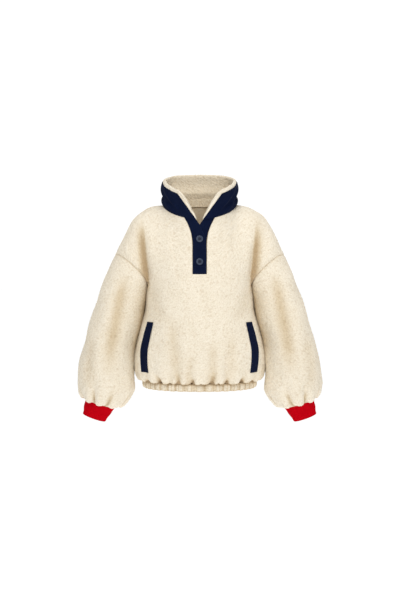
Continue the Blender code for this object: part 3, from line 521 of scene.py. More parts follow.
def body_point(share, row, face):
    """The body's outer surface, with its gathers and long folds."""
    share, row = np.broadcast_arrays(np.asarray(share, float), np.asarray(row, float))
    size = np.abs(share)
    height = np.interp(row, np.arange(len(TORSO_ROWS)), TORSO_ROWS)
    low = torso_point(size, height, face)
    high = bezier(chest_column(size, face), climb_of(row)[..., None])
    point = np.where((row <= CHEST_ROW)[..., None], low, high)
    point[..., 0] *= np.where(share < 0, -1, 1)
    angle = round_torso(share, face)
    length = HEM_GATHER_LENGTH * (1 + 0.45 * np.sin(5 * angle))
    fade = np.exp(-((np.maximum(0, point[..., 2] - HEM_LINE) / length) ** 1.3))
    gathers = HEM_GATHER_DEPTH * wave(angle, HEM_GATHERS, 1.0) * fade
    clear_of_seam = ease((1 - size) / 0.12)
    folds = fold_depth(point[..., 0], point[..., 2], FOLDS[face]) * clear_of_seam
    return point + unit(point * TORSO_SPREAD) * (gathers - folds)[..., None]


def body_normal(share, row, face):
    """The body's outward normal, from points close by."""
    across = body_point(np.minimum(1.0, share + 0.02), row, face)
    across = across - body_point(np.maximum(-1.0, share - 0.02), row, face)
    along = body_point(share, np.minimum(TOP_ROW, row + 0.4), face)
    along = along - body_point(share, np.maximum(0, row - 0.4), face)
    return unit(np.cross(across, along)) * -face


def share_at(x, row):
    """The shares at which rows of the front reach x. They have the sign of x."""
    x, row = np.broadcast_arrays(np.asarray(x, float), np.asarray(row, float))
    low, high = np.zeros(x.shape), np.ones(x.shape)
    for _ in range(24):
        middle = (low + high) / 2
        short = body_point(middle, row, FRONT)[..., 0] < np.abs(x)
        low, high = np.where(short, middle, low), np.where(short, high, middle)
    return np.copysign(low, x)


def row_of_height(height):
    return np.interp(height, TORSO_ROWS, np.arange(len(TORSO_ROWS)))


def row_of_climb(climb):
    return CHEST_ROW + np.interp(climb, CLIMBS, np.arange(len(CLIMBS)))


def climb_of(row):
    return np.interp(row - CHEST_ROW, np.arange(len(CLIMBS)), CLIMBS)


def armhole_seam(climb, face):
    """The direction in which the left armhole's seam runs into the cloth."""
    angle = np.asarray(climb) * math.pi
    along = np.cos(angle)[..., None]
    ends = np.where(along > 0, UP, np.array(UNDERARM_SEAM))
    return unit(ends * np.abs(along) + np.array((0.0, -face, 0.0)) * np.sin(angle)[..., None])


# The pile and the other fine relief.


def hashed(cells, seed):
    """Three numbers from 0 to 1 for each cell of a lattice, always the same ones."""
    parts = cells.astype(np.uint64) * np.array(HASH_CELL, np.uint64)
    number = parts[..., 0] ^ parts[..., 1] ^ parts[..., 2] ^ np.uint64(seed * HASH_SEED)
    found = []
    for turn in range(3):
        number = (number ^ (number >> np.uint64(29))) * np.uint64(HASH_MIX + 2 * turn)
        number = number ^ (number >> np.uint64(32))
        found.append((number & np.uint64(0xFFFFFF)).astype(float) / 0xFFFFFF)
    return np.stack(found, -1)


def curls(points, size, seed):
    """The height of the pile's curls at each point, 0 in the gaps and up to 1."""
    swirl, turns = CURL_SWIRL
    turned = points + swirl * size * np.sin(points[..., [1, 2, 0]] * (turns / size) + seed)
    place = turned / size
    base = np.floor(place).astype(np.int64)
    nearest = np.full(place.shape[:-1], 9.0)
    second = nearest.copy()
    tallness = np.zeros(place.shape[:-1])
    for step in np.ndindex(3, 3, 3):
        cell = base + (np.array(step) - 1)
        jitter = hashed(cell, seed)
        distance = np.linalg.norm(cell + jitter - place, axis=-1)
        closer = distance < nearest
        second = np.where(closer, nearest, np.minimum(second, distance))
        tallness = np.where(closer, jitter[..., 0], tallness)
        nearest = np.where(closer, distance, nearest)
    dome = np.sqrt(np.clip(1 - (nearest / CURL_REACH) ** 2, 0, 1))
    gap = ease((second - nearest) / CURL_GAP)
    return dome * (0.35 + 0.65 * gap) * (0.75 + 0.35 * tallness)


def lumps(points, length, seed):
    """Slow uneven swells in the cloth, between about -1 and 1."""
    k = 2 * math.pi / length
    x, y, z = np.moveaxis(points, -1, 0)
    total = np.sin(k * (x + 0.35 * z) + seed)
    total = total + np.sin(k * (0.62 * z - 0.48 * y) + 1.7 * seed)
    total = total + np.sin(k * (0.71 * x - 0.52 * z + 0.4 * y) + 2.3 * seed)
    return total / 3


def distance_to(points, line):
    """How far each point of a grid is from the nearest point of a line of points."""
    tree = kdtree.KDTree(len(line))
    for n, point in enumerate(line):
        tree.insert(point, n)
    tree.balance()
    flat = points.reshape(-1, 3)
    return np.array([tree.find(p)[2] for p in flat]).reshape(points.shape[:-1])


def grid_normals(grid, wrap=False):
    """Unit normals of a grid, pointing away from the middle of each row."""
    across = np.roll(grid, -1, 1) - np.roll(grid, 1, 1) if wrap else np.gradient(grid, axis=1)
    found = unit(np.cross(across, np.gradient(grid, axis=0)))
    away = ((grid - grid.mean(1, keepdims=True)) * found).sum()
    return found if away > 0 else -found


def furry(grid, outwards, seams, seed, height=1.0, size=CURL):
    """A grid with pile raised on it, sunk along the seams, and a value for the pile's painted shade at each
    point, low in its gaps and on the seams.
    """
    pile, clumps = curls(grid, size, seed), curls(grid, CLUMP, seed + 7)
    calm = np.ones(grid.shape[:-1])
    sink = np.zeros(grid.shape[:-1])
    if len(seams):
        apart = distance_to(grid, seams)
        calm = SEAM_CALM + (1 - SEAM_CALM) * ease(apart / SEAM_REACH)
        sink = SEAM_SINK * bell(apart, SEAM_REACH)
    rise = (PILE_OUT + PILE_IN) * pile * (0.78 + 0.32 * clumps) - PILE_IN
    shade = np.clip(pile * (0.8 + 0.2 * clumps), 0, 1) * (0.65 + 0.35 * calm)
    return grid + outwards * (height * rise * calm - sink)[..., None], shade


def inner_pile(base, outwards, seed, height):
    """The inner side of a panel or a sleeve, with half as many rows and columns, and its painted shade."""
    few, inwards = base[::2, ::2] - outwards[::2, ::2] * FLEECE, -outwards[::2, ::2]
    return furry(few, inwards, [], seed + 1, height, INSIDE_CURL)


# Turning grids of points into meshes.


def make_object(name, points, faces, material, attributes=None, smooth_angle=None):
    mesh = bpy.data.meshes.new(name)
    points, faces = np.asarray(points, np.float32), np.asarray(faces, np.int32)
    corners = faces.shape[1]
    mesh.vertices.add(len(points))
    mesh.vertices.foreach_set("co", points.ravel())
    mesh.loops.add(faces.size)
    mesh.loops.foreach_set("vertex_index", faces.ravel())
    mesh.polygons.add(len(faces))
    mesh.polygons.foreach_set("loop_start", np.arange(0, faces.size, corners, dtype=np.int32))
    mesh.update(calc_edges=True)
    mesh.validate()
    for key, values in (attributes or {}).items():
        field = mesh.attributes.new(key, "FLOAT", "POINT")
        field.data.foreach_set("value", np.asarray(values, np.float32))
    mesh.shade_smooth()
    if smooth_angle:
        mesh.set_sharp_from_angle(angle=math.radians(smooth_angle))
    mesh.materials.append(material)
    obj = bpy.data.objects.new(name, mesh)
    bpy.context.scene.collection.objects.link(obj)
    return obj


def grid_triangles(rows, columns, keep, wrap):
    """Triangles of a grid of points, as an array. keep is a mask of cells, or None."""
    cells = np.ones((rows - 1, columns if wrap else columns - 1), bool) if keep is None else keep
    i, j = np.nonzero(cells)
    k = (j + 1) % columns
    a, b, c, d = i * columns + j, i * columns + k, (i + 1) * columns + k, (i + 1) * columns + j
    return np.concatenate([np.stack([a, b, c], 1), np.stack([a, c, d], 1)])


def open_edges(faces):
    """The directed edges that only one face has."""
    ends = np.concatenate([faces[:, [0, 1]], faces[:, [1, 2]], faces[:, [2, 0]]])
    there = ends[:, 0] * (1 << 32) + ends[:, 1]
    back = ends[:, 1] * (1 << 32) + ends[:, 0]
    return ends[~np.isin(back, there)]


def facing_out(points, faces):
    """The triangles of a closed surface, turned round where they face inwards."""
    p = points[faces]
    return faces[:, ::-1] if (p[:, 0] * np.cross(p[:, 1], p[:, 2])).sum() < 0 else faces


def cloth(
    name, outer, inner, material, keep=None, wrap=False, shades=None, painted_shades=None, smooth_angle=None
):
    """A closed wall: a fine outer grid, and an inner one with every second row and column."""
    rows, columns = outer.shape[:2]
    few_rows, few_columns = inner.shape[:2]
    half_keep = None if keep is None else keep[::2, ::2]
    front = grid_triangles(rows, columns, keep, wrap)
    plain = grid_triangles(few_rows, few_columns, half_keep, wrap)
    start = rows * columns
    edges = open_edges(plain)
    i, j = np.divmod(edges, few_columns)
    top = 2 * i * columns + 2 * j
    step = 2 * (j[:, 1] - j[:, 0])
    if wrap:
        step = np.where(step > 2, -2, np.where(step < -2, 2, step))
    column = (2 * j[:, 0] + step // 2) % columns
    middle = (i[:, 0] + i[:, 1]) * columns + column
    a, b, low_a, low_b = top[:, 0], top[:, 1], edges[:, 0] + start, edges[:, 1] + start
    fans = ((middle, a, low_a), (middle, low_a, low_b), (b, middle, low_b))
    rim = np.concatenate([np.stack(fan, 1) for fan in fans])
    faces = np.concatenate([front, plain[:, ::-1] + start, rim])
    points = np.concatenate([outer.reshape(-1, 3), inner.reshape(-1, 3)])
    fields = {}
    # Two attributes carry painted shade: the pile's, darkest in its gaps, and one for folds, creases,
    # valleys and the inside.
    if shades is not None:
        fields["pile"] = np.concatenate([shades[0].ravel(), shades[1].ravel()])
        fields["painted_shade"] = np.concatenate([painted_shades.ravel(), np.full(inner[..., 0].size, INSIDE_PAINTED_SHADE)])
    used, place = np.unique(faces, return_inverse=True)
    points = points[used]
    faces = facing_out(points, place.reshape(faces.shape))
    fields = {key: values[used] for key, values in fields.items()}
    return make_object(name, points, faces, material, fields, smooth_angle)


def show(obj, node):
    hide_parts(node)
    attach(obj, "root")


# The front and the back.


def body_rows():
    low = row_of_height(np.linspace(HEM_LINE, CHEST_LINE, BODY_LOW_ROWS + 1))
    high = row_of_climb(np.linspace(0, 1, BODY_HIGH_ROWS + 1))
    return np.concatenate([low, high[1:]])


def front_shares(rows):
    """The front's columns. The middle ones lie under the placket and below it."""
    edge = share_at(spline(climb_of(rows), PLACKET_EDGE)[:, 0], rows)[:, None]
    t = np.linspace(0, 1, FRONT_SIDE_COLUMNS + 1)[None]
    side = edge + (1 - edge) * t
    middle = edge * np.linspace(-1, 1, FRONT_MIDDLE_COLUMNS + 1)[None, 1:-1]
    return np.concatenate([-side[:, ::-1], middle, side], 1)


def back_shares(rows):
    return np.repeat(np.linspace(-1, 1, BACK_COLUMNS + 1)[None], len(rows), 0)


def panel_outwards(grid, shares, rows, face):
    """The direction in which a panel's pile stands. On its seams it lies in the seam."""
    outwards = grid_normals(grid)
    if (outwards[..., 1] * face).sum() < 0:
        outwards = -outwards
    high = rows >= CHEST_ROW
    seam = -armhole_seam(climb_of(rows[high]), face)
    outwards[high, -1], outwards[high, 0] = seam, seam * FLIP
    top = shares[-1]
    side = np.where(top < 0, -1, 1)[:, None]
    neck = -neck_seam(neck_angle(np.minimum(np.abs(top), NECK_SHARE), face)) * np.where(side < 0, FLIP, 1)
    at_neck = (np.abs(top) <= NECK_SHARE)[:, None]
    flat = unit(outwards[-1] * np.array((1, 0, 1)))
    outwards[-1] = np.where(at_neck, neck, flat)
    outwards[0] = unit(outwards[0] * np.array((1, 1, 0)))
    for j in (0, -1):
        outwards[~high, j] = unit(outwards[~high, j] * np.array((1, 0, 1)))
    return outwards


def welt_area(grid):
    """1 where a pocket welt lies on the front, fading to 0 just outside it."""
    x, z = np.abs(grid[..., 0]), grid[..., 2]
    inner_x, outer_x = np.moveaxis(spline(np.clip(z, HEM_LINE, CHEST_LINE), WELT_EDGES), -1, 0)
    past, fade = WELT_BED
    area = (grid[..., 1] < 0).astype(float)
    for inside in (x - inner_x, outer_x - x, z - WELT_ENDS[0], WELT_ENDS[1] - z):
        area *= ease((inside + past) / fade)
    return area


def smoothed(grid, reach):
    """A grid averaged with its neighbours along each row, and left as it is at the edges."""
    weights = bell(np.arange(-reach, reach + 1), reach / 2)
    weights /= weights.sum()
    padded = np.pad(grid, ((0, 0), (reach, reach), (0, 0)), mode="edge")
    mean = sum(w * padded[:, k : k + grid.shape[1]] for k, w in enumerate(weights))
    columns = np.arange(grid.shape[1])
    mix = ease(np.minimum(columns, columns[::-1]) / (2 * reach))[None, :, None]
    rows = np.arange(grid.shape[0])
    mix = mix * ease(np.minimum(rows, rows[::-1]) / (2 * reach))[:, None, None]
    return grid * (1 - mix) + mean * mix


def hem_puffs(base, outwards, shares, face):
    """The panel with its hem creases and with puffs that hang over the casing, and the painted shade in its
    creases, its gathers and under the puffs.
    """
    above = base[..., 2] - HEM_LINE
    creases = fold_depth(base[..., 0], base[..., 2], HEM_CREASES[face])
    pressed = base - outwards * (creases * ease(above / HEM_FLAT))[..., None]
    full = ease(above / PUFF_RISE) * (1 - ease((above - PUFF_TOP[0]) / PUFF_TOP[1]))
    puff = np.clip(1 - creases / CREASE_FULL, 0, 1)
    pressed = pressed - UP * (PUFF_DROP * full * (PUFF_LEAST + (1 - PUFF_LEAST) * puff))[..., None]
    in_crease, in_gather, in_shadow = HEM_SHADES
    crease_reach, gather_reach, shadow_reach = HEM_SHADE_HEIGHTS
    higher = np.maximum(0, above)
    low = 0.35 + 0.65 * np.exp(-higher / crease_reach)
    trough = np.clip(-wave(round_torso(shares, face), HEM_GATHERS, 1.0), 0, 1)
    shadow = 1 - ease((above - 0.001) / shadow_reach)
    painted_shade = in_crease * np.clip(creases / HEM_SHADE_DEPTH, 0, 1) * low
    return pressed, painted_shade + in_gather * trough * bell(higher, gather_reach) + in_shadow * shadow


def arm_valley(base):
    """How much painted shade each point of a panel gets in the valleys beside the arms, from 0 to 1."""
    x_top, z_top, x_low, z_low = ARM_VALLEY
    along = (z_top - base[..., 2]) / (z_top - z_low)
    past = np.abs(base[..., 0]) - (x_top + (x_low - x_top) * along)
    width = np.where(past > 0, *VALLEY_WIDTHS)
    return faded(along, 2.2, 5, 0.1) * bell(past, width)


def seam_shade(apart):
    """How much painted shade the cloth gets at a distance from the armhole's seam."""
    return sum(dark * bell(apart, reach) for dark, reach in zip(SEAM_SHADE, SEAM_SHADE_REACH))


def panel(name, face, seed, material):
    """The front or the back. Both sides of the cloth have pile, the inner one shorter."""
    rows = body_rows()
    shares = front_shares(rows) if face == FRONT else back_shares(rows)
    size = np.abs(shares)
    base = smoothed(body_point(shares, rows[:, None], face), SMOOTH_REACH)
    beside_neck = bell(size - NECK_SHARE, 0.10) * ease((rows[:, None] - CHEST_ROW) / 4)
    base = base + (smoothed(base, NECK_SMOOTH_REACH) - base) * beside_neck[..., None]
    outwards = panel_outwards(base, shares, rows, face)
    above = base[..., 2] - HEM_LINE
    soft = ease(above / 0.05) * ease((1 - size) / 0.15)
    folds = fold_depth(base[..., 0], base[..., 2], FOLDS[face])
    swell, swell_length = BODY_SWELL
    base = base + outwards * (swell * lumps(base, swell_length, seed) * soft)[..., None]
    beside = ease((size - 0.86) / 0.14) * ease((CHEST_LINE + 0.012 - base[..., 2]) / 0.03)
    beside = beside * ease((base[..., 2] - HEM_LINE) / 0.06)
    base = base + outwards * (SIDE_FULLNESS * beside)[..., None]
    base, painted_shade = hem_puffs(base, outwards, shares, face)
    keep = None
    armholes = [base[rows >= CHEST_ROW, 0], base[rows >= CHEST_ROW, -1]]
    seams = armholes + [base[-1]]
    if face == FRONT:
        keep = np.ones((base.shape[0] - 1, base.shape[1] - 1), bool)
        bottom = BODY_LOW_ROWS + round(PLACKET_BOTTOM * BODY_HIGH_ROWS)
        first = FRONT_SIDE_COLUMNS
        last = first + FRONT_MIDDLE_COLUMNS
        keep[bottom:, first:last] = False
        seams += [base[bottom:, first], base[bottom:, last], base[bottom, first : last + 1]]
    outer, shade = furry(base, outwards, np.concatenate(seams), seed)
    # Painted shade in the long folds, on the sides under the arms, along the armhole's seams and in the
    # valleys beside the arms.
    painted_shade = painted_shade + FOLD_SHADE[0] * np.clip(folds / FOLD_SHADE[1], 0, 1) + SIDE_SHADE * beside
    painted_shade = painted_shade + seam_shade(distance_to(base, np.concatenate(armholes)))
    painted_shade = painted_shade + VALLEY_SHADE[face == BACK] * arm_valley(base)
    if face == FRONT:
        # Under a welt and just past its edges the pile lies flat and gets painted shade.
        under = welt_area(base)[..., None]
        outer = outer * (1 - under) + (base - outwards * FLAT_PILE) * under
        shade = shade * (1 - 0.7 * under[..., 0])
    inner, inner_shade = inner_pile(base, outwards, seed, INSIDE_PILE[0])
    shades = (shade, inner_shade)
    return cloth(name, outer, inner, material, keep, shades=shades, painted_shades=np.clip(painted_shade, 0, 1))


def layer(share, row, depth):
    """Points at a depth below the front's outer surface."""
    share, row = np.broadcast_arrays(share, row)
    depth = np.broadcast_to(depth, share.shape)[..., None]
    surface = body_point(share, row, FRONT)
    below = surface - body_normal(share, row, FRONT) * depth
    into = neck_seam(neck_angle(np.minimum(np.abs(share), NECK_SHARE), FRONT))
    into = into * np.where(share[..., None] < 0, FLIP, 1)
    seam = surface + into * depth - UP * SEAM_GAP / 2
    mix = ease((row - TOP_ROW + 0.5) / 0.5)[..., None]
    return below * (1 - mix) + seam * mix


# Woven trim: the placket's bands and the pocket welts.


def rounded_edges(cells, steps, radius, sewn=None):
    """How far a strip's face drops near its edges. Its sewn end, first or last, stays flat."""
    up, across = (np.arange(count + 1) * step for count, step in zip(cells, steps))
    down = up[::-1]
    free = {None: np.minimum(up, down), "first": down, "last": up}[sewn]
    apart = np.minimum(free[:, None], np.minimum(across, across[::-1])[None])
    return radius * (1 - np.sqrt(np.clip(1 - (1 - np.clip(apart / radius, 0, 1)) ** 2, 0, 1)))


def placket_band(name, side, depth, material):
    """One band of the placket. Side is -1 for the band sewn to the wearer's right edge."""
    many, columns = BAND_GRID
    climbs = np.linspace(PLACKET_BOTTOM, 1, many + 1)
    rows = row_of_climb(climbs)
    sewn = side * (spline(climbs, PLACKET_EDGE)[:, 0] - 1.5 * SEAM_GAP)
    free = -side * spline(climbs, PLACKET_FREE_EDGE)[:, 0]
    t = np.linspace(0, 1, columns + 1)[None]
    shares = share_at(sewn[:, None] + (free - sewn)[:, None] * t, rows[:, None])
    drop = rounded_edges(BAND_GRID, STRIP_STEPS, TRIM_EDGE, "last")
    seams = TRIM_SEAM_DEPTH * sum(bell(t - place, 0.02) for place in TRIM_SEAMS)
    outer = layer(shares, rows[:, None], depth + drop + seams)
    swell, swell_length = PLACKET_SWELL
    swells = swell * lumps(outer, swell_length, 3 + side)[..., None]
    outer = outer + swells * body_normal(shares, rows[:, None], FRONT)
    inner = layer(shares, rows[:, None], depth + WOVEN)[::2, ::2]
    for grid in (outer, inner):
        grid[0] += UP * SEAM_GAP
        grid[-1] += UP * PLACKET_LIFT
    return cloth(name, outer, inner, material, smooth_angle=TRIM_SHARP), shares, rows


def welt(name, side, material):
    """A pocket's welt, lying on the front."""
    many, columns = WELT_GRID
    heights = np.linspace(*WELT_ENDS, many + 1)
    rows = row_of_height(heights)
    inner_x, outer_x = np.moveaxis(spline(heights, WELT_EDGES), -1, 0)
    t = np.linspace(0, 1, columns + 1)[None]
    shares = side * share_at(inner_x[:, None] + (outer_x - inner_x)[:, None] * t, rows[:, None])
    drop = rounded_edges(WELT_GRID, STRIP_STEPS, WELT_EDGE)
    height, length = WELT_PUCKER
    pucker = height * np.sin(heights[:, None] * 2 * math.pi / length) * bell(t - 0.5, 0.25)
    outer = layer(shares, rows[:, None], -WELT_RAISED + drop + pucker)
    inner = layer(shares, rows[:, None], -SEAM_GAP)[::2, ::2]
    return cloth(name, outer, inner, material, smooth_angle=TRIM_SHARP), shares, rows


# The collar. Angles go round the neck in degrees, from 0 at the front.

COLLAR_START = math.degrees(math.asin(-PLACKET_FREE_EDGE[-1][1] / NECK_HALF_WIDTH))
COLLAR_END = 360 - COLLAR_START


def collar_point(angle, height):
    """The collar's outer surface. The height runs from 0 at the neck seam to 1 at the rim."""
    angle, height = np.broadcast_arrays(np.asarray(angle, float), np.asarray(height, float))
    side = np.where(angle <= 180, 1, -1)
    a = from_front(angle)
    low, high = neckline(a), spline(a, COLLAR_RIM)
    outwards = vectors(np.sin(np.radians(a)), -np.cos(np.radians(a)), 0.0)
    below = np.sin(math.pi * np.clip(height / COLLAR_CREASE, 0, 1))
    above = np.sin(math.pi * np.clip((height - COLLAR_CREASE) / (1 - COLLAR_CREASE), 0, 1))
    fullness = COLLAR_BULGE * (0.9 * below + above) * (0.35 + 0.65 * ease((a - 15) / 60))
    point = low + (high - low) * height[..., None] + outwards * fullness[..., None]
    point[..., 0] *= side
    return point


def collar_layer(angle, height, depth):
    """Points at a depth inside the collar's outer surface."""
    angle, height = np.broadcast_arrays(np.asarray(angle, float), np.asarray(height, float))
    depth = np.broadcast_to(depth, angle.shape)[..., None]
    surface = collar_point(angle, height)
    across = collar_point(np.minimum(COLLAR_END, angle + 2), height)
    across = across - collar_point(np.maximum(COLLAR_START, angle - 2), height)
    along = collar_point(angle, np.minimum(1, height + 0.1))
    along = along - collar_point(angle, np.maximum(0, height - 0.1))
    free = surface - unit(np.cross(across, along)) * depth
    into = neck_seam(from_front(angle)) * np.where((angle <= 180)[..., None], 1, FLIP)
    seam = surface + into * depth + UP * SEAM_GAP / 2
    mix = ease(height / 0.15)[..., None]
    return seam * (1 - mix) + free * mix


def collar_angles(columns):
    return np.linspace(COLLAR_START, COLLAR_END, columns + 1)[None]


def collar_folds(angle, height):
    """How far the collar's soft folds press its cloth in. The left side's are a little deeper."""
    total = np.zeros(np.broadcast(angle, height).shape)
    for a, shift, strength in ((angle, 0, 1.0), (360 - angle, 3, 0.8)):
        for a_top, h_top, a_low, h_low, width, depth in COLLAR_FOLDS:
            along = (h_top - height) / (h_top - h_low)
            centre = a_top + (a_low - a_top) * along + shift
            fade = ease(along * 3 + 0.2) * ease((1 - along) * 3 + 0.2)
            total += strength * depth * fade * bell(a - centre, width)
    return total


def collar_shell(material):
    """The collar's navy outside, bent at its crease, with its soft folds and its topstitching."""
    rows, columns = SHELL_GRID
    angles, heights = collar_angles(columns), np.linspace(0, 1, rows + 1)[:, None]
    drop = rounded_edges(SHELL_GRID, SHELL_STEPS, TRIM_EDGE, "first")
    crease = COLLAR_CREASE_DEPTH * bell(heights - COLLAR_CREASE, 0.05) * ease((from_front(angles) - 45) / 30)
    soft = (collar_folds(angles, heights) + crease) * ease(heights * 6) * ease((1 - heights) * 8 + 0.3)
    seam_height, seam_depth = COLLAR_SEAM
    depth = soft + drop + seam_depth * bell(heights - seam_height, 0.02)
    outer = collar_layer(angles, heights, depth)
    inner = collar_layer(angles, heights, WOVEN + 0.3 * np.minimum(depth - drop, 0.0))[::2, ::2]
    over_band = ease((30.0 - from_front(angles)) / 6.0)[0, :, None]
    outer[0] -= UP * COLLAR_LAP * over_band
    return cloth("collar_shell_cloth", outer, inner, material, smooth_angle=TRIM_SHARP)


def lining_loops(angles):
    """The lining's loops, and the share of the collar's height at each of their points.

    A loop goes up the inside, over the rim, down the outside and back along the bottom.
    """
    inside, over, outside, bottom = LINING_ROWS
    up, down = np.linspace(0, 1, inside + 1), np.linspace(1, 0, outside + 1)
    up_inside = collar_layer(angles, up[:, None], LINING_FAR)
    down_outside = collar_layer(angles, down[:, None], LINING_NEAR)
    rise = unit(up_inside[-1] - up_inside[-3])
    half = (down_outside[0] - up_inside[-1]) / 2
    turn = np.linspace(0, math.pi, over + 1)[1:-1, None, None]
    ahead = ease((np.cos(np.radians(angles)) + 0.45) / 0.9)[..., None]
    top = LINING_RIM + RIM_RISE + RIM_PILE * ahead
    rim = up_inside[-1] + half - half * np.cos(turn) + rise * top * np.sin(turn) ** 0.8
    share = np.linspace(0, 1, bottom + 1)[1:-1, None, None]
    base = down_outside[-1] * (1 - share) + up_inside[0] * share
    height = np.concatenate([up, np.ones(over - 1), down, np.zeros(bottom - 1)])
    return np.concatenate([up_inside, rim, down_outside, base]), height


def lining_edge(loops, height, angle, end, inner):
    """Columns of points that round off one front edge of the lining."""
    edge = unit(loops[:, end] - loops[:, inner])
    middle = collar_layer(angle, height, (LINING_NEAR + LINING_FAR) / 2)
    reach = LINING_EDGE * EDGE_PILE * (LINING_EDGE_LOW + (1 - LINING_EDGE_LOW) * height)
    columns = []
    for k in range(1, LINING_CAP + 1):
        turn = math.pi / 2 * k / LINING_CAP
        shrunk = (loops[:, end] - middle) * max(LINING_CAP_END, math.cos(turn))
        columns.append(middle + shrunk + edge * (reach * math.sin(turn))[:, None])
    return columns


def collar_lining(material):
    """A thick band of pile inside the collar, standing past its rim and its front edges."""
    inside, over, outside, _ = LINING_ROWS
    angles = collar_angles(LINING_COLUMNS)
    loops, height = lining_loops(angles)
    first = lining_edge(loops, height, angles[:, 0], 0, 1)
    last = lining_edge(loops, height, angles[:, -1], -1, -2)
    grid = np.stack(first[::-1] + list(np.moveaxis(loops, 1, 0)) + last, 1)
    outwards = unit(np.cross(np.gradient(grid, axis=1), np.roll(grid, -1, 0) - np.roll(grid, 1, 0)))
    at_the_back = outwards[inside // 2, grid.shape[1] // 2]
    if at_the_back[1] > 0:
        outwards = -outwards
    calm = np.ones(grid.shape[:2])
    calm[inside + over : inside + over + outside + 1] = 0.0
    calm[inside + over + outside :] = 0.4
    calm[:, : LINING_CAP + 1] *= 0.6
    calm[:, -LINING_CAP - 1 :] *= 0.6
    pile = curls(grid, CURL, 31)
    rise = (LINING_PILE + PILE_IN) * pile - PILE_IN
    turned = np.swapaxes(grid + outwards * (rise * calm)[..., None], 0, 1)
    columns, around = turned.shape[:2]
    points = np.concatenate([turned.reshape(-1, 3), turned[0].mean(0)[None], turned[-1].mean(0)[None]])
    shade = np.append(np.swapaxes(pile, 0, 1).ravel(), (0.6, 0.6))
    n = np.arange(around)
    hub, after, far_end = np.full(around, columns * around), (n + 1) % around, (columns - 1) * around
    near_cap = np.stack([hub, after, n], 1)
    far_cap = np.stack([far_end + n, far_end + after, hub + 1], 1)
    faces = np.concatenate([grid_triangles(columns, around, None, True), near_cap, far_cap])
    # Painted shade inside the collar: deeper below the rim, and fading out towards the front.
    shade_top, shade_depth = LINING_SHADE
    below_rim = np.clip((shade_top - points[:, 2]) / shade_depth, 0, 1)
    behind = ease((points[:, 1] + 0.03) / 0.06)
    fields = {"pile": shade, "painted_shade": INSIDE_PAINTED_SHADE * (0.30 + below_rim) * behind}
    return make_object("collar_lining_pile", points, facing_out(points, faces), material, fields)


# Sleeves and cuffs.


def section_point(section, angle, forward):
    """Points on tilted elliptical sections, 0 degrees at the outer side and 90 at the front."""
    x_out, z_out, x_in, z_in, depth = section
    a = np.radians(angle)
    along = np.cos(a)
    x = (x_out + x_in) / 2 + (x_out - x_in) / 2 * along
    z = (z_out + z_in) / 2 + (z_out - z_in) / 2 * along
    return vectors(x, -(forward + depth * np.sin(a)), z)


def section_middle(section):
    return np.array(((section[0] + section[2]) / 2, 0.0, (section[1] + section[3]) / 2))


CUFF_AXIS = unit(section_middle(CUFF[-1][1:]) - section_middle(CUFF[0][1:]))


def armhole(angles):
    """The armhole's loop at sleeve angles from 0 to 360."""
    front = bezier(chest_column(np.ones(len(angles)), -1), (1 - angles / 180)[:, None])
    back = bezier(chest_column(np.ones(len(angles)), 1), ((angles - 180) / 180)[:, None])
    return np.where((angles <= 180)[:, None], front, back)


def sleeve_folds(station, angle):
    """How far the folds press a sleeve in."""
    total = 0.0
    for s_top, a_top, s_low, a_low, width, depth in SLEEVE_FOLDS:
        along = (station - s_top) / (s_low - s_top)
        apart = (angle - a_top - (a_low - a_top) * along + 180) % 360 - 180
        total = total + depth * faded(along, 4, 2.5) * bell(apart, width)
    return total


def sleeve_grid(stations, angles):
    """The sleeve's outer surface, from the armhole at station 0 to the cuff."""
    keys = [np.append(0.0, armhole(angles).ravel())]
    for key, *section, forward in SLEEVE:
        keys.append(np.append(key, section_point(section, angles, forward).ravel()))
    point = spline(stations, keys).reshape(len(stations), len(angles), 3)
    a, s = np.radians(angles)[None], stations[:, None]
    outwards = vectors(np.cos(a), -np.sin(a), 0.0)
    gather = wave(a, CUFF_GATHERS, 2.0)
    end = ease((SLEEVE_END - s) / 0.35)
    puckers = CUFF_GATHER_DEPTH * gather * ease((s - 4.2) / 1.2) * end
    hang = CUFF_HANG * (gather + 0.3) * ease((s - 5.1) / 0.6) * end
    folds = sleeve_folds(s, angles[None])
    return point + outwards * (puckers - folds)[..., None] + CUFF_AXIS * hang[..., None]


def even_stations(count):
    """Stations evenly spaced along the sleeve."""
    trial = np.linspace(0, SLEEVE_END, 400)
    path = sleeve_grid(trial, np.array((0.0, 90.0, 180.0, 270.0)))
    steps = np.linalg.norm(np.diff(path, axis=0), axis=-1).mean(1)
    return np.interp(np.linspace(0, steps.sum(), count + 1), np.append(0, np.cumsum(steps)), trial)


def sleeve_painted_shade(stations, angles, apart_from_seam):
    """How much painted shade each point of a sleeve gets, from 0 to 1: in its folds and gathers, beside the
    body and along the armhole's seam.
    """
    s, a = stations[:, None], angles[None]
    gather = np.clip(-wave(np.radians(a), CUFF_GATHERS, 2.0), 0, 1) * ease((s - 4.6) / 1.3)
    inner_side = sum(dark * bell(a - 180, reach) for dark, reach in INNER_ARM_SHADES)
    beside = inner_side * ease(s / 0.6) * ease((3.8 - s) / 1.5)
    total = SLEEVE_FOLD_SHADE * sleeve_folds(s, a) + GATHER_SHADE * gather + beside
    return np.clip(total + seam_shade(apart_from_seam), 0, 1)


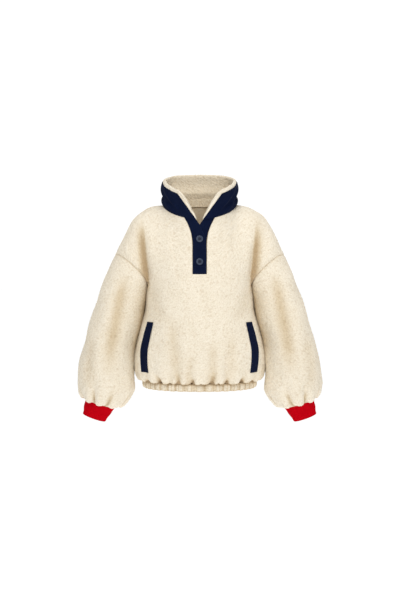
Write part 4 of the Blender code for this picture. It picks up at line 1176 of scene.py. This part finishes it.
def sleeve(name, side, seed, material):
    """A sleeve: the left one's shape, turned over for the right. Side is 1 for the left."""
    rows, columns = SLEEVE_GRID
    angles = 360 - np.arange(columns) * 360 / columns
    angles[0] = 0.0
    stations = even_stations(rows)
    base = sleeve_grid(stations, angles)
    outwards = grid_normals(base, True)
    climb = np.where(angles <= 180, 1 - angles / 180, (angles - 180) / 180)
    in_front = (angles <= 180)[:, None]
    outwards[0] = -np.where(in_front, armhole_seam(climb, FRONT), armhole_seam(climb, BACK))
    outwards[-1] = CUFF_AXIS
    row = np.arange(rows + 1)
    soft = ease((row - 14) / 30) * ease((rows - row) / 40)
    swell, swell_length = SLEEVE_SWELL
    base = base + outwards * (swell * lumps(base, swell_length, seed) * soft[:, None])[..., None]
    beside = ease(stations / 0.6)[:, None] * ease((4.6 - stations) / 1.5)[:, None]
    beside = beside * bell(angles[None] - 180, 40)
    base = base + outwards * (SIDE_FULLNESS * beside)[..., None]
    outer, shade = furry(base, outwards, base[0], seed)
    outer[-1] = base[-1]
    # Painted shade in the sleeve's folds and gathers, on its side towards the body and along its seam.
    painted_shade = sleeve_painted_shade(stations, angles, distance_to(base, base[0]))
    inner, inner_shade = inner_pile(base, outwards, seed, INSIDE_PILE[1])
    inner[-1] = (base - outwards * FLEECE)[-1, ::2]
    outer, inner = outer * (side, 1, 1), inner * (side, 1, 1)
    return cloth(name, outer, inner, material, wrap=True, shades=(shade, inner_shade), painted_shades=painted_shade)


def cuff(name, side, material):
    """A rib-knit tube, its top up inside the sleeve and its end turned in."""
    rows, columns = CUFF_GRID
    angles = np.arange(columns)[None] * 360 / columns
    share = np.concatenate([[0.0], np.linspace(0, 1, rows - 1), [1.0]])
    sections = np.moveaxis(spline(share, CUFF), -1, 0)[..., None]
    share = share[:, None]
    grid = section_point(sections, angles, CUFF_FORWARD)
    x_out, z_out, x_in, z_in, _ = sections
    into = unit(vectors((x_out + x_in) / 2, -CUFF_FORWARD, (z_out + z_in) / 2) - grid)
    a = np.radians(angles)
    ribs = RIB_HEIGHT * (1 - np.abs(np.cos(a * RIBS / 2)) ** 0.8) * (1 - 0.5 * ease((share - 0.95) / 0.05))
    slack = CUFF_SLACK * np.sin(share * 9 + 1) * np.sin(a * 2 + 1) * ease(share * 4)
    turn_in = CUFF_TURN_IN * ease((share - 0.955) / 0.045)
    outer = grid + into * (CUFF_INSET + ribs + slack + turn_in)[..., None]
    inner = (grid + into * (CUFF_INSET + RIB_KNIT + slack)[..., None])[::2, ::2]
    for wall in (outer, inner):
        wall[0] -= CUFF_AXIS * CUFF_TUCK
    return cloth(name, outer * (side, 1, 1), inner * (side, 1, 1), material, wrap=True)


def hem_casing(material):
    """The casing round the hem. Its elastic draws it into uneven pleats, with fine ones in between."""
    rows, columns = CASING_GRID
    half_width, front_depth, back_depth = TORSO[0][1:]
    down = np.linspace(0, 1, rows + 1)[:, None]
    out = spline(down[:, 0], CASING_PROFILE)
    a = np.arange(columns)[None] * 2 * math.pi / columns
    depth = np.where(np.cos(a) > 0, front_depth, back_depth)
    x = np.sign(np.sin(a)) * np.abs(np.sin(a)) ** SQUARENESS * half_width
    y = -np.sign(np.cos(a)) * np.abs(np.cos(a)) ** SQUARENESS * depth
    ring = vectors(x, y, 0.0)
    outwards = unit(ring * TORSO_SPREAD)
    z = HEM_LINE - SEAM_GAP - CASING_HEIGHT * down
    pleat, fine = wave(a, CASING_WAVES, 0.5), wave(a, 2 * CASING_WAVES + 11, 2.1)
    strong = 0.5 + 0.5 * np.sin(5 * a + 1.3) * np.sin(13 * a + 0.4)
    gathers = CASING_WAVE_DEPTH * (0.55 + 0.35 * strong) * pleat + CASING_FINE_DEPTH * (1.2 - strong) * fine
    gathers = gathers * (0.65 + 0.35 * np.sin(math.pi * down))
    uneven = (CASING_UNEVEN[0] * pleat + CASING_UNEVEN[1] * fine) * ease((down - 0.6) / 0.4)
    base = ring + vectors(0.0, 0.0, z - uneven) + outwards * (out + gathers)[..., None]
    outer, shade = furry(base, np.broadcast_to(outwards, base.shape), base[0], 51, height=0.6)
    # Painted shade: a little all over, more in the troughs of the pleats, under the puffs at the top and at
    # the bottom edge; the inside pile gets a darker painted shade.
    lines = (0.25 + 0.50 * strong) * np.clip(-pleat, 0, 1) + (0.55 - 0.35 * strong) * np.clip(-fine, 0, 1)
    ends = 0.5 * (1 - ease(down / 0.35)) + 0.35 * ease((down - 0.75) / 0.25)
    inner = (ring + vectors(0.0, 0.0, z) + outwards * (0.5 * out - CASING)[..., None])[::2, ::2]
    shades = (shade, shade[::2, ::2] * 0.8)
    painted_shade = np.clip(0.12 + lines + ends, 0, 1)
    return cloth("hem_casing_cloth", outer, inner, material, wrap=True, shades=shades, painted_shades=painted_shade)


# Materials.

WHITE = (1.0, 1.0, 1.0)
# Colours of the pile: from its gaps to its tips, darker in the gaps as painted shade; in its slow patches;
# and with painted shade from open to deep places.
PILE_COLOURS = ((0.0, (0.72, 0.625, 0.485)), (0.35, (0.82, 0.74, 0.60)), (0.8, (0.885, 0.815, 0.685)))
PILE_PATCHES = ((0.3, (0.965, 0.955, 0.935)), (0.7, WHITE))
PILE_SHADES = ((0.0, WHITE), (0.5, (0.80, 0.73, 0.62)), (1.0, (0.58, 0.47, 0.34)))
# Woven and knitted colours: between the threads and on them.
NAVY = ((0.0016, 0.0036, 0.0135), (0.0042, 0.0085, 0.0300))
NAVY_THREAD = ((0.010, 0.016, 0.045), (0.018, 0.027, 0.065))
NAVY_WEAR = ((0.3, (0.75, 0.78, 0.85)), (0.75, (1.15, 1.15, 1.2)))
RED = ((0.44, 0.0003, 0.0040), (0.62, 0.0008, 0.0085))
RED_WEAR = ((0.3, (0.9, 0.9, 0.9)), (0.7, WHITE))
# A button's colours, with painted shade in its dish and at its edge and a painted highlight on its raised
# ring, and where they change on the way from its middle to its edge.
BUTTON_PAINTED_SHADE, BUTTON_PAINTED_HIGHLIGHT = (0.0060, 0.0110, 0.0280), (0.034, 0.048, 0.086)
BUTTON_RINGS = (
    (0.0, BUTTON_PAINTED_SHADE),
    (0.46, BUTTON_PAINTED_SHADE),
    (0.56, BUTTON_PAINTED_HIGHLIGHT),
    (0.90, BUTTON_PAINTED_HIGHLIGHT),
    (1.0, BUTTON_PAINTED_SHADE),
)
BUTTON_MOTTLING = ((0.3, (0.80, 0.80, 0.82)), (0.7, (1.1, 1.1, 1.1)))


def new_material(name, roughness, specular, sheen=(0.0, 0.5, WHITE)):
    """A material with the weight, roughness and tint of its sheen."""
    made = bpy.data.materials.new(name)
    made.use_nodes = True
    shader = made.node_tree.nodes["Principled BSDF"]
    weight, sheen_roughness, tint = sheen
    shader.inputs["Roughness"].default_value = roughness
    shader.inputs["Specular IOR Level"].default_value = specular
    shader.inputs["Sheen Weight"].default_value = weight
    shader.inputs["Sheen Roughness"].default_value = sheen_roughness
    shader.inputs["Sheen Tint"].default_value = (*tint, 1.0)
    return made, made.node_tree, shader


def add_node(tree, kind, **settings):
    node = tree.nodes.new(kind)
    for key, value in settings.items():
        if key in node.inputs:
            node.inputs[key].default_value = value
        else:
            setattr(node, key, value)
    return node


def ramp(tree, source, stops):
    """A colour ramp through (place, colour) stops."""
    node = tree.nodes.new("ShaderNodeValToRGB")
    while len(node.color_ramp.elements) < len(stops):
        node.color_ramp.elements.new(0.5)
    for element, (place, colour) in zip(node.color_ramp.elements, stops):
        element.position = place
        element.color = (*colour, 1.0)
    tree.links.new(source, node.inputs["Fac"])
    return node.outputs["Color"]


def texture(tree, kind, **settings):
    """A procedural texture that is placed by the object's own coordinates."""
    node = add_node(tree, kind, **settings)
    place = tree.nodes.new("ShaderNodeTexCoord").outputs["Object"]
    tree.links.new(place, node.inputs["Vector"])
    return node


def maths(tree, operation, first, second):
    node = add_node(tree, "ShaderNodeMath", operation=operation)
    tree.links.new(first, node.inputs[0])
    tree.links.new(second, node.inputs[1])
    return node.outputs["Value"]


def product(tree, first, second):
    """Two colours multiplied."""
    node = add_node(tree, "ShaderNodeMix", data_type="RGBA", blend_type="MULTIPLY")
    sockets = {socket.identifier: socket for socket in (*node.inputs, *node.outputs)}
    sockets["Factor_Float"].default_value = 1.0
    tree.links.new(first, sockets["A_Color"])
    tree.links.new(second, sockets["B_Color"])
    return sockets["Result_Color"]


def bump(tree, shader, height, strength, distance):
    node = tree.nodes.new("ShaderNodeBump")
    node.inputs["Strength"].default_value = strength
    node.inputs["Distance"].default_value = distance
    tree.links.new(height, node.inputs["Height"])
    tree.links.new(node.outputs["Normal"], shader.inputs["Normal"])


def sherpa_material():
    """Cream wool-like pile: pale at the tips of the curls, with painted shade, darker and warmer, in the
    gaps and in the folds.
    """
    made, tree, shader = new_material("cream_sherpa_pile", 0.95, 0.25, (0.12, 0.7, (1.0, 0.97, 0.92)))
    pile = add_node(tree, "ShaderNodeAttribute", attribute_name="pile").outputs["Fac"]
    painted_shade = add_node(tree, "ShaderNodeAttribute", attribute_name="painted_shade").outputs["Fac"]
    cloudy = texture(tree, "ShaderNodeTexNoise", Scale=22.0, Detail=3.0, Roughness=0.6)
    patches = ramp(tree, cloudy.outputs["Fac"], PILE_PATCHES)
    # Painted shade: the pile's colour darkens towards its gaps, and the second ramp darkens and warms it in
    # folds, creases and valleys.
    colour = product(tree, ramp(tree, pile, PILE_COLOURS), patches)
    colour = product(tree, colour, ramp(tree, painted_shade, PILE_SHADES))
    tree.links.new(colour, shader.inputs["Base Color"])
    curl = texture(tree, "ShaderNodeTexVoronoi", Scale=560.0, Randomness=1.0)
    fibre = texture(tree, "ShaderNodeTexNoise", Scale=950.0, Detail=4.0, Roughness=0.65, Distortion=1.2)
    height = maths(tree, "SUBTRACT", fibre.outputs["Fac"], curl.outputs["Distance"])
    bump(tree, shader, height, 0.40, 0.0008)
    return made


def woven_material(name, colours):
    """A close navy twill: fine slanting ribs of thread, with worn paler threads here and there."""
    made, tree, shader = new_material(name, 0.85, 0.05, (0.02, 0.4, (0.45, 0.60, 1.0)))
    twill = texture(
        tree, "ShaderNodeTexWave", Scale=260.0, Distortion=1.2, Detail=2.0, bands_direction="DIAGONAL"
    )
    yarn = texture(tree, "ShaderNodeTexWave", Scale=330.0, Distortion=0.8, Detail=1.0, bands_direction="Z")
    cloudy = texture(tree, "ShaderNodeTexNoise", Scale=38.0, Detail=5.0, Roughness=0.65)
    both = maths(tree, "ADD", twill.outputs["Fac"], yarn.outputs["Fac"])
    threads = ramp(tree, both, ((0.2, colours[0]), (1.0, colours[1])))
    worn = ramp(tree, cloudy.outputs["Fac"], NAVY_WEAR)
    tree.links.new(product(tree, threads, worn), shader.inputs["Base Color"])
    bump(tree, shader, both, 0.35, 0.0003)
    return made


def rib_material():
    """Red rib knit, darker between the ribs, with rows of small stitches along them."""
    made, tree, shader = new_material("red_rib_knit", 0.90, 0.02, (0.02, 0.5, (1.0, 0.25, 0.25)))
    rows = texture(tree, "ShaderNodeTexWave", Scale=150.0, Distortion=2.2, Detail=2.0, bands_direction="Z")
    fuzz = texture(tree, "ShaderNodeTexNoise", Scale=700.0, Detail=3.0, Roughness=0.6)
    cloudy = texture(tree, "ShaderNodeTexNoise", Scale=60.0, Detail=3.0)
    colour = ramp(tree, rows.outputs["Fac"], ((0.0, RED[0]), (1.0, RED[1])))
    worn = ramp(tree, cloudy.outputs["Fac"], RED_WEAR)
    tree.links.new(product(tree, colour, worn), shader.inputs["Base Color"])
    height = maths(tree, "ADD", rows.outputs["Fac"], fuzz.outputs["Fac"])
    bump(tree, shader, height, 0.4, 0.0004)
    return made


def button_material(name, centre):
    """Moulded navy plastic with a soft shine, with a painted highlight on its raised ring and painted shade
    in its dish and at its edge.
    """
    made, tree, shader = new_material(name, 0.38, 0.30)
    marble = texture(tree, "ShaderNodeTexNoise", Scale=260.0, Detail=4.0, Roughness=0.6, Distortion=1.5)
    apart = add_node(tree, "ShaderNodeVectorMath", operation="DISTANCE")
    apart.inputs[1].default_value = tuple(centre)
    tree.links.new(tree.nodes.new("ShaderNodeTexCoord").outputs["Object"], apart.inputs[0])
    reach = add_node(tree, "ShaderNodeMath", operation="DIVIDE")
    tree.links.new(apart.outputs["Value"], reach.inputs[0])
    reach.inputs[1].default_value = BUTTON_RADIUS
    ring_highlight_and_shade = ramp(tree, reach.outputs[0], BUTTON_RINGS)
    mottled = ramp(tree, marble.outputs["Fac"], BUTTON_MOTTLING)
    tree.links.new(product(tree, ring_highlight_and_shade, mottled), shader.inputs["Base Color"])
    bump(tree, shader, marble.outputs["Fac"], 0.08, 0.0002)
    return made


def floor_material():
    made, _, shader = new_material("pale_floor", 0.9, 0.25)
    shader.inputs["Base Color"].default_value = (0.60, 0.60, 0.60, 1.0)
    shader.inputs["Emission Color"].default_value = (*WHITE, 1.0)
    shader.inputs["Emission Strength"].default_value = 0.80
    return made


# Sewing thread.


def along_line(values, steps, at):
    """A line's point or normal at a distance along it."""
    return np.array([np.interp(at, steps, values[:, k]) for k in range(3)])


def stitches(name, runs, material, size):
    """Small rounded stitches along runs of (points, normals)."""
    radius, length, gap = size
    points, faces = [], []
    for line, normals in runs:
        steps = np.append(0, np.cumsum(np.linalg.norm(np.diff(line, axis=0), axis=1)))
        for start in np.arange(0, steps[-1] - length, length + gap):
            tail, head = along_line(line, steps, start), along_line(line, steps, start + length)
            up = unit(along_line(normals, steps, start + length / 2))
            along = unit(head - tail)
            side = np.cross(up, along)
            middle = (tail + head) / 2 + up * radius * STITCH_RISE
            first = len(points)
            for share, thick in STITCH_RINGS:
                for n in range(STITCH_SIDES):
                    a = 2 * math.pi * n / STITCH_SIDES
                    spoke = side * math.cos(a) + up * math.sin(a) * STITCH_FLATNESS
                    points.append(middle + along * share * length + spoke * radius * thick)
            last = first + (len(STITCH_RINGS) - 1) * STITCH_SIDES
            for ring in range(first, last, STITCH_SIDES):
                for n in range(STITCH_SIDES):
                    p, q = ring + n, ring + (n + 1) % STITCH_SIDES
                    faces += [(p, q, q + STITCH_SIDES), (p, q + STITCH_SIDES, p + STITCH_SIDES)]
            for n in range(1, STITCH_SIDES - 1):
                faces += [(first, first + n + 1, first + n), (last, last + n, last + n + 1)]
    obj = make_object(name, points, faces, material)
    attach(obj, "root")


def run_on_strip(shares, rows, depth, column_share, ends):
    """A line along a strip on the front, at a share of its width, with its normals."""
    at = column_share * (shares.shape[1] - 1)
    low = int(at)
    part = at - low
    line = shares[:, low] * (1 - part) + shares[:, min(low + 1, shares.shape[1] - 1)] * part
    start, end = (int(place * (len(rows) - 1)) for place in ends)
    line, rows = line[start : end + 1], rows[start : end + 1]
    return layer(line, rows, depth), body_normal(line, rows, FRONT)


def run_across(shares, rows, depth, row):
    """A line across a strip on the front, from near one edge to near the other."""
    at = np.linspace(0.1, 0.9, 12) * (shares.shape[1] - 1)
    line = np.interp(at, np.arange(shares.shape[1]), shares[row])
    height = np.full(len(line), rows[row])
    return layer(line, height, depth), body_normal(line, height, FRONT)


def button_threads(node, name, material):
    """Two bars of thread over the bridge between a button's four holes."""
    low, high = (np.array(c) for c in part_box(node))
    centre = (low + high) / 2
    row = np.linspace(CHEST_ROW, TOP_ROW, 600)
    heights = body_point(0.0 * row, row, FRONT)[:, 2]
    at = np.array(np.interp(centre[2], heights, row))
    normal = body_normal(np.array(0.0), at, FRONT)
    side = unit(np.cross(UP, normal))
    up = np.cross(normal, side)
    t = np.linspace(-1, 1, 9)[:, None]
    runs = []
    for x in BUTTON_BARS:
        line = centre + normal * BAR_HEIGHT + side * x + up * t * BAR_REACH - normal * (BAR_DIP * t**4)
        runs.append((line, np.repeat(normal[None], len(line), 0)))
    stitches(name, runs, material, BUTTON_STITCH)


# Camera, lights and ground.

CAMERA_PLACE = (0.0, -3.0, -0.126)
CAMERA_AIM = (0.0026, 0.0, -0.2820)
SENSOR_WIDTH, LENS = 36.0, 59.9
# Name, place, the point each light is aimed at, size, power, colour.
LIGHTS = (
    ("key", (-0.8, -2.6, 2.0), (0.0, 0.0, -0.22), 1.6, 38.5, (1.0, 0.99, 0.975)),
    ("fill", (1.7, -2.4, 0.8), (0.0, 0.0, -0.3), 1.8, 21.0, WHITE),
    ("top", (0.0, -0.3, 2.2), (0.0, 0.0, -0.2), 1.5, 18.0, WHITE),
    ("back", (0.6, 2.8, 0.9), (0.0, 0.0, -0.3), 1.6, 20.0, WHITE),
)
ROOM_STRENGTHS = (0.36, 1.05)  # as light, and as the camera sees it
FLOOR_SIZE, FLOOR_HEIGHT = 30.0, -1.45


def look_at(obj, place, aim):
    """Puts a camera or a light in its place, turned towards its aim."""
    obj.location = place
    obj.rotation_euler = (Vector(aim) - Vector(place)).to_track_quat("-Z", "Y").to_euler()
    bpy.context.scene.collection.objects.link(obj)


def add_camera():
    data = bpy.data.cameras.new("photo_camera")
    data.sensor_width = SENSOR_WIDTH
    data.lens = LENS
    camera = bpy.data.objects.new("photo_camera", data)
    look_at(camera, CAMERA_PLACE, CAMERA_AIM)
    bpy.context.scene.camera = camera


def add_light(name, place, aim, size, power, colour):
    data = bpy.data.lights.new(name, "AREA")
    data.shape = "DISK"
    data.size = size
    data.energy = power
    data.color = colour
    look_at(bpy.data.objects.new(name, data), place, aim)


def add_world():
    """A white room: pure white to the eye, a little softer as light."""
    world = bpy.data.worlds.new("white_room")
    bpy.context.scene.world = world
    world.use_nodes = True
    tree = world.node_tree
    ground = tree.nodes["Background"]
    ground.inputs["Color"].default_value = (*WHITE, 1.0)
    seen = tree.nodes.new("ShaderNodeLightPath").outputs["Is Camera Ray"]
    strength = tree.nodes.new("ShaderNodeMapRange")
    strength.inputs["To Min"].default_value, strength.inputs["To Max"].default_value = ROOM_STRENGTHS
    tree.links.new(seen, strength.inputs["Value"])
    tree.links.new(strength.outputs["Result"], ground.inputs["Strength"])


def add_floor():
    mesh = bpy.data.meshes.new("floor")
    around = ((-1, -1), (1, -1), (1, 1), (-1, 1))
    corners = [(x * FLOOR_SIZE, y * FLOOR_SIZE, FLOOR_HEIGHT) for x, y in around]
    mesh.from_pydata(corners, [], [(0, 1, 2, 3)])
    mesh.materials.append(floor_material())
    floor = bpy.data.objects.new("floor", mesh)
    bpy.context.scene.collection.objects.link(floor)


def main():
    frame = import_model()
    bpy.context.scene.view_settings.view_transform = "Standard"
    add_camera()
    add_world()
    add_floor()
    for light in LIGHTS:
        add_light(*light)

    sherpa = sherpa_material()
    navy = woven_material("navy_twill", NAVY)
    red = rib_material()
    thread = woven_material("navy_thread", NAVY_THREAD)

    show(panel("front_pile", FRONT, 11, sherpa), "front")
    show(panel("back_pile", BACK, 12, sherpa), "back")
    show(sleeve("sleeve_left_pile", 1, 13, sherpa), "sleeve_left")
    show(sleeve("sleeve_right_pile", -1, 14, sherpa), "sleeve_right")
    show(hem_casing(sherpa), "hem_casing")
    show(collar_lining(sherpa), "collar_lining")
    show(collar_shell(navy), "collar_shell")
    for end, side in (("left", 1), ("right", -1)):
        show(cuff(f"cuff_{end}_knit", side, red), f"cuff_{end}")

    over, shares, rows = placket_band("placket_over_cloth", -1, PLACKET_SINK, navy)
    show(over, "placket_over")
    sunk = PLACKET_SINK + PLACKET_STITCH_SINK
    runs = [run_on_strip(shares, rows, sunk, seam, PLACKET_STITCHED) for seam in TRIM_SEAMS]
    runs += [run_across(shares, rows, PLACKET_SINK, row) for row in PLACKET_CROSSINGS]
    under, _, _ = placket_band("placket_under_cloth", 1, PLACKET_SINK + WOVEN + SEAM_GAP, navy)
    show(under, "placket_under")
    for end, side in (("left", 1), ("right", -1)):
        strip, shares, rows = welt(f"welt_{end}_cloth", side, navy)
        show(strip, f"welt_{end}")
        runs += [run_on_strip(shares, rows, -WELT_RAISED, seam, (0.0, 1.0)) for seam in WELT_SEAMS]
        runs += [run_across(shares, rows, -WELT_RAISED, row) for row in WELT_CROSSINGS]
    stitches("topstitching", runs, thread, TOPSTITCH)

    for node in ("button_top", "button_bottom"):
        low, high = (np.array(corner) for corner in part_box(node))
        plastic = button_material(f"{node}_plastic", (low + high) / 2)
        for slot in frame["nodes"][node].material_slots:
            slot.material = plastic
        button_threads(node, f"{node}_thread", thread)


main()
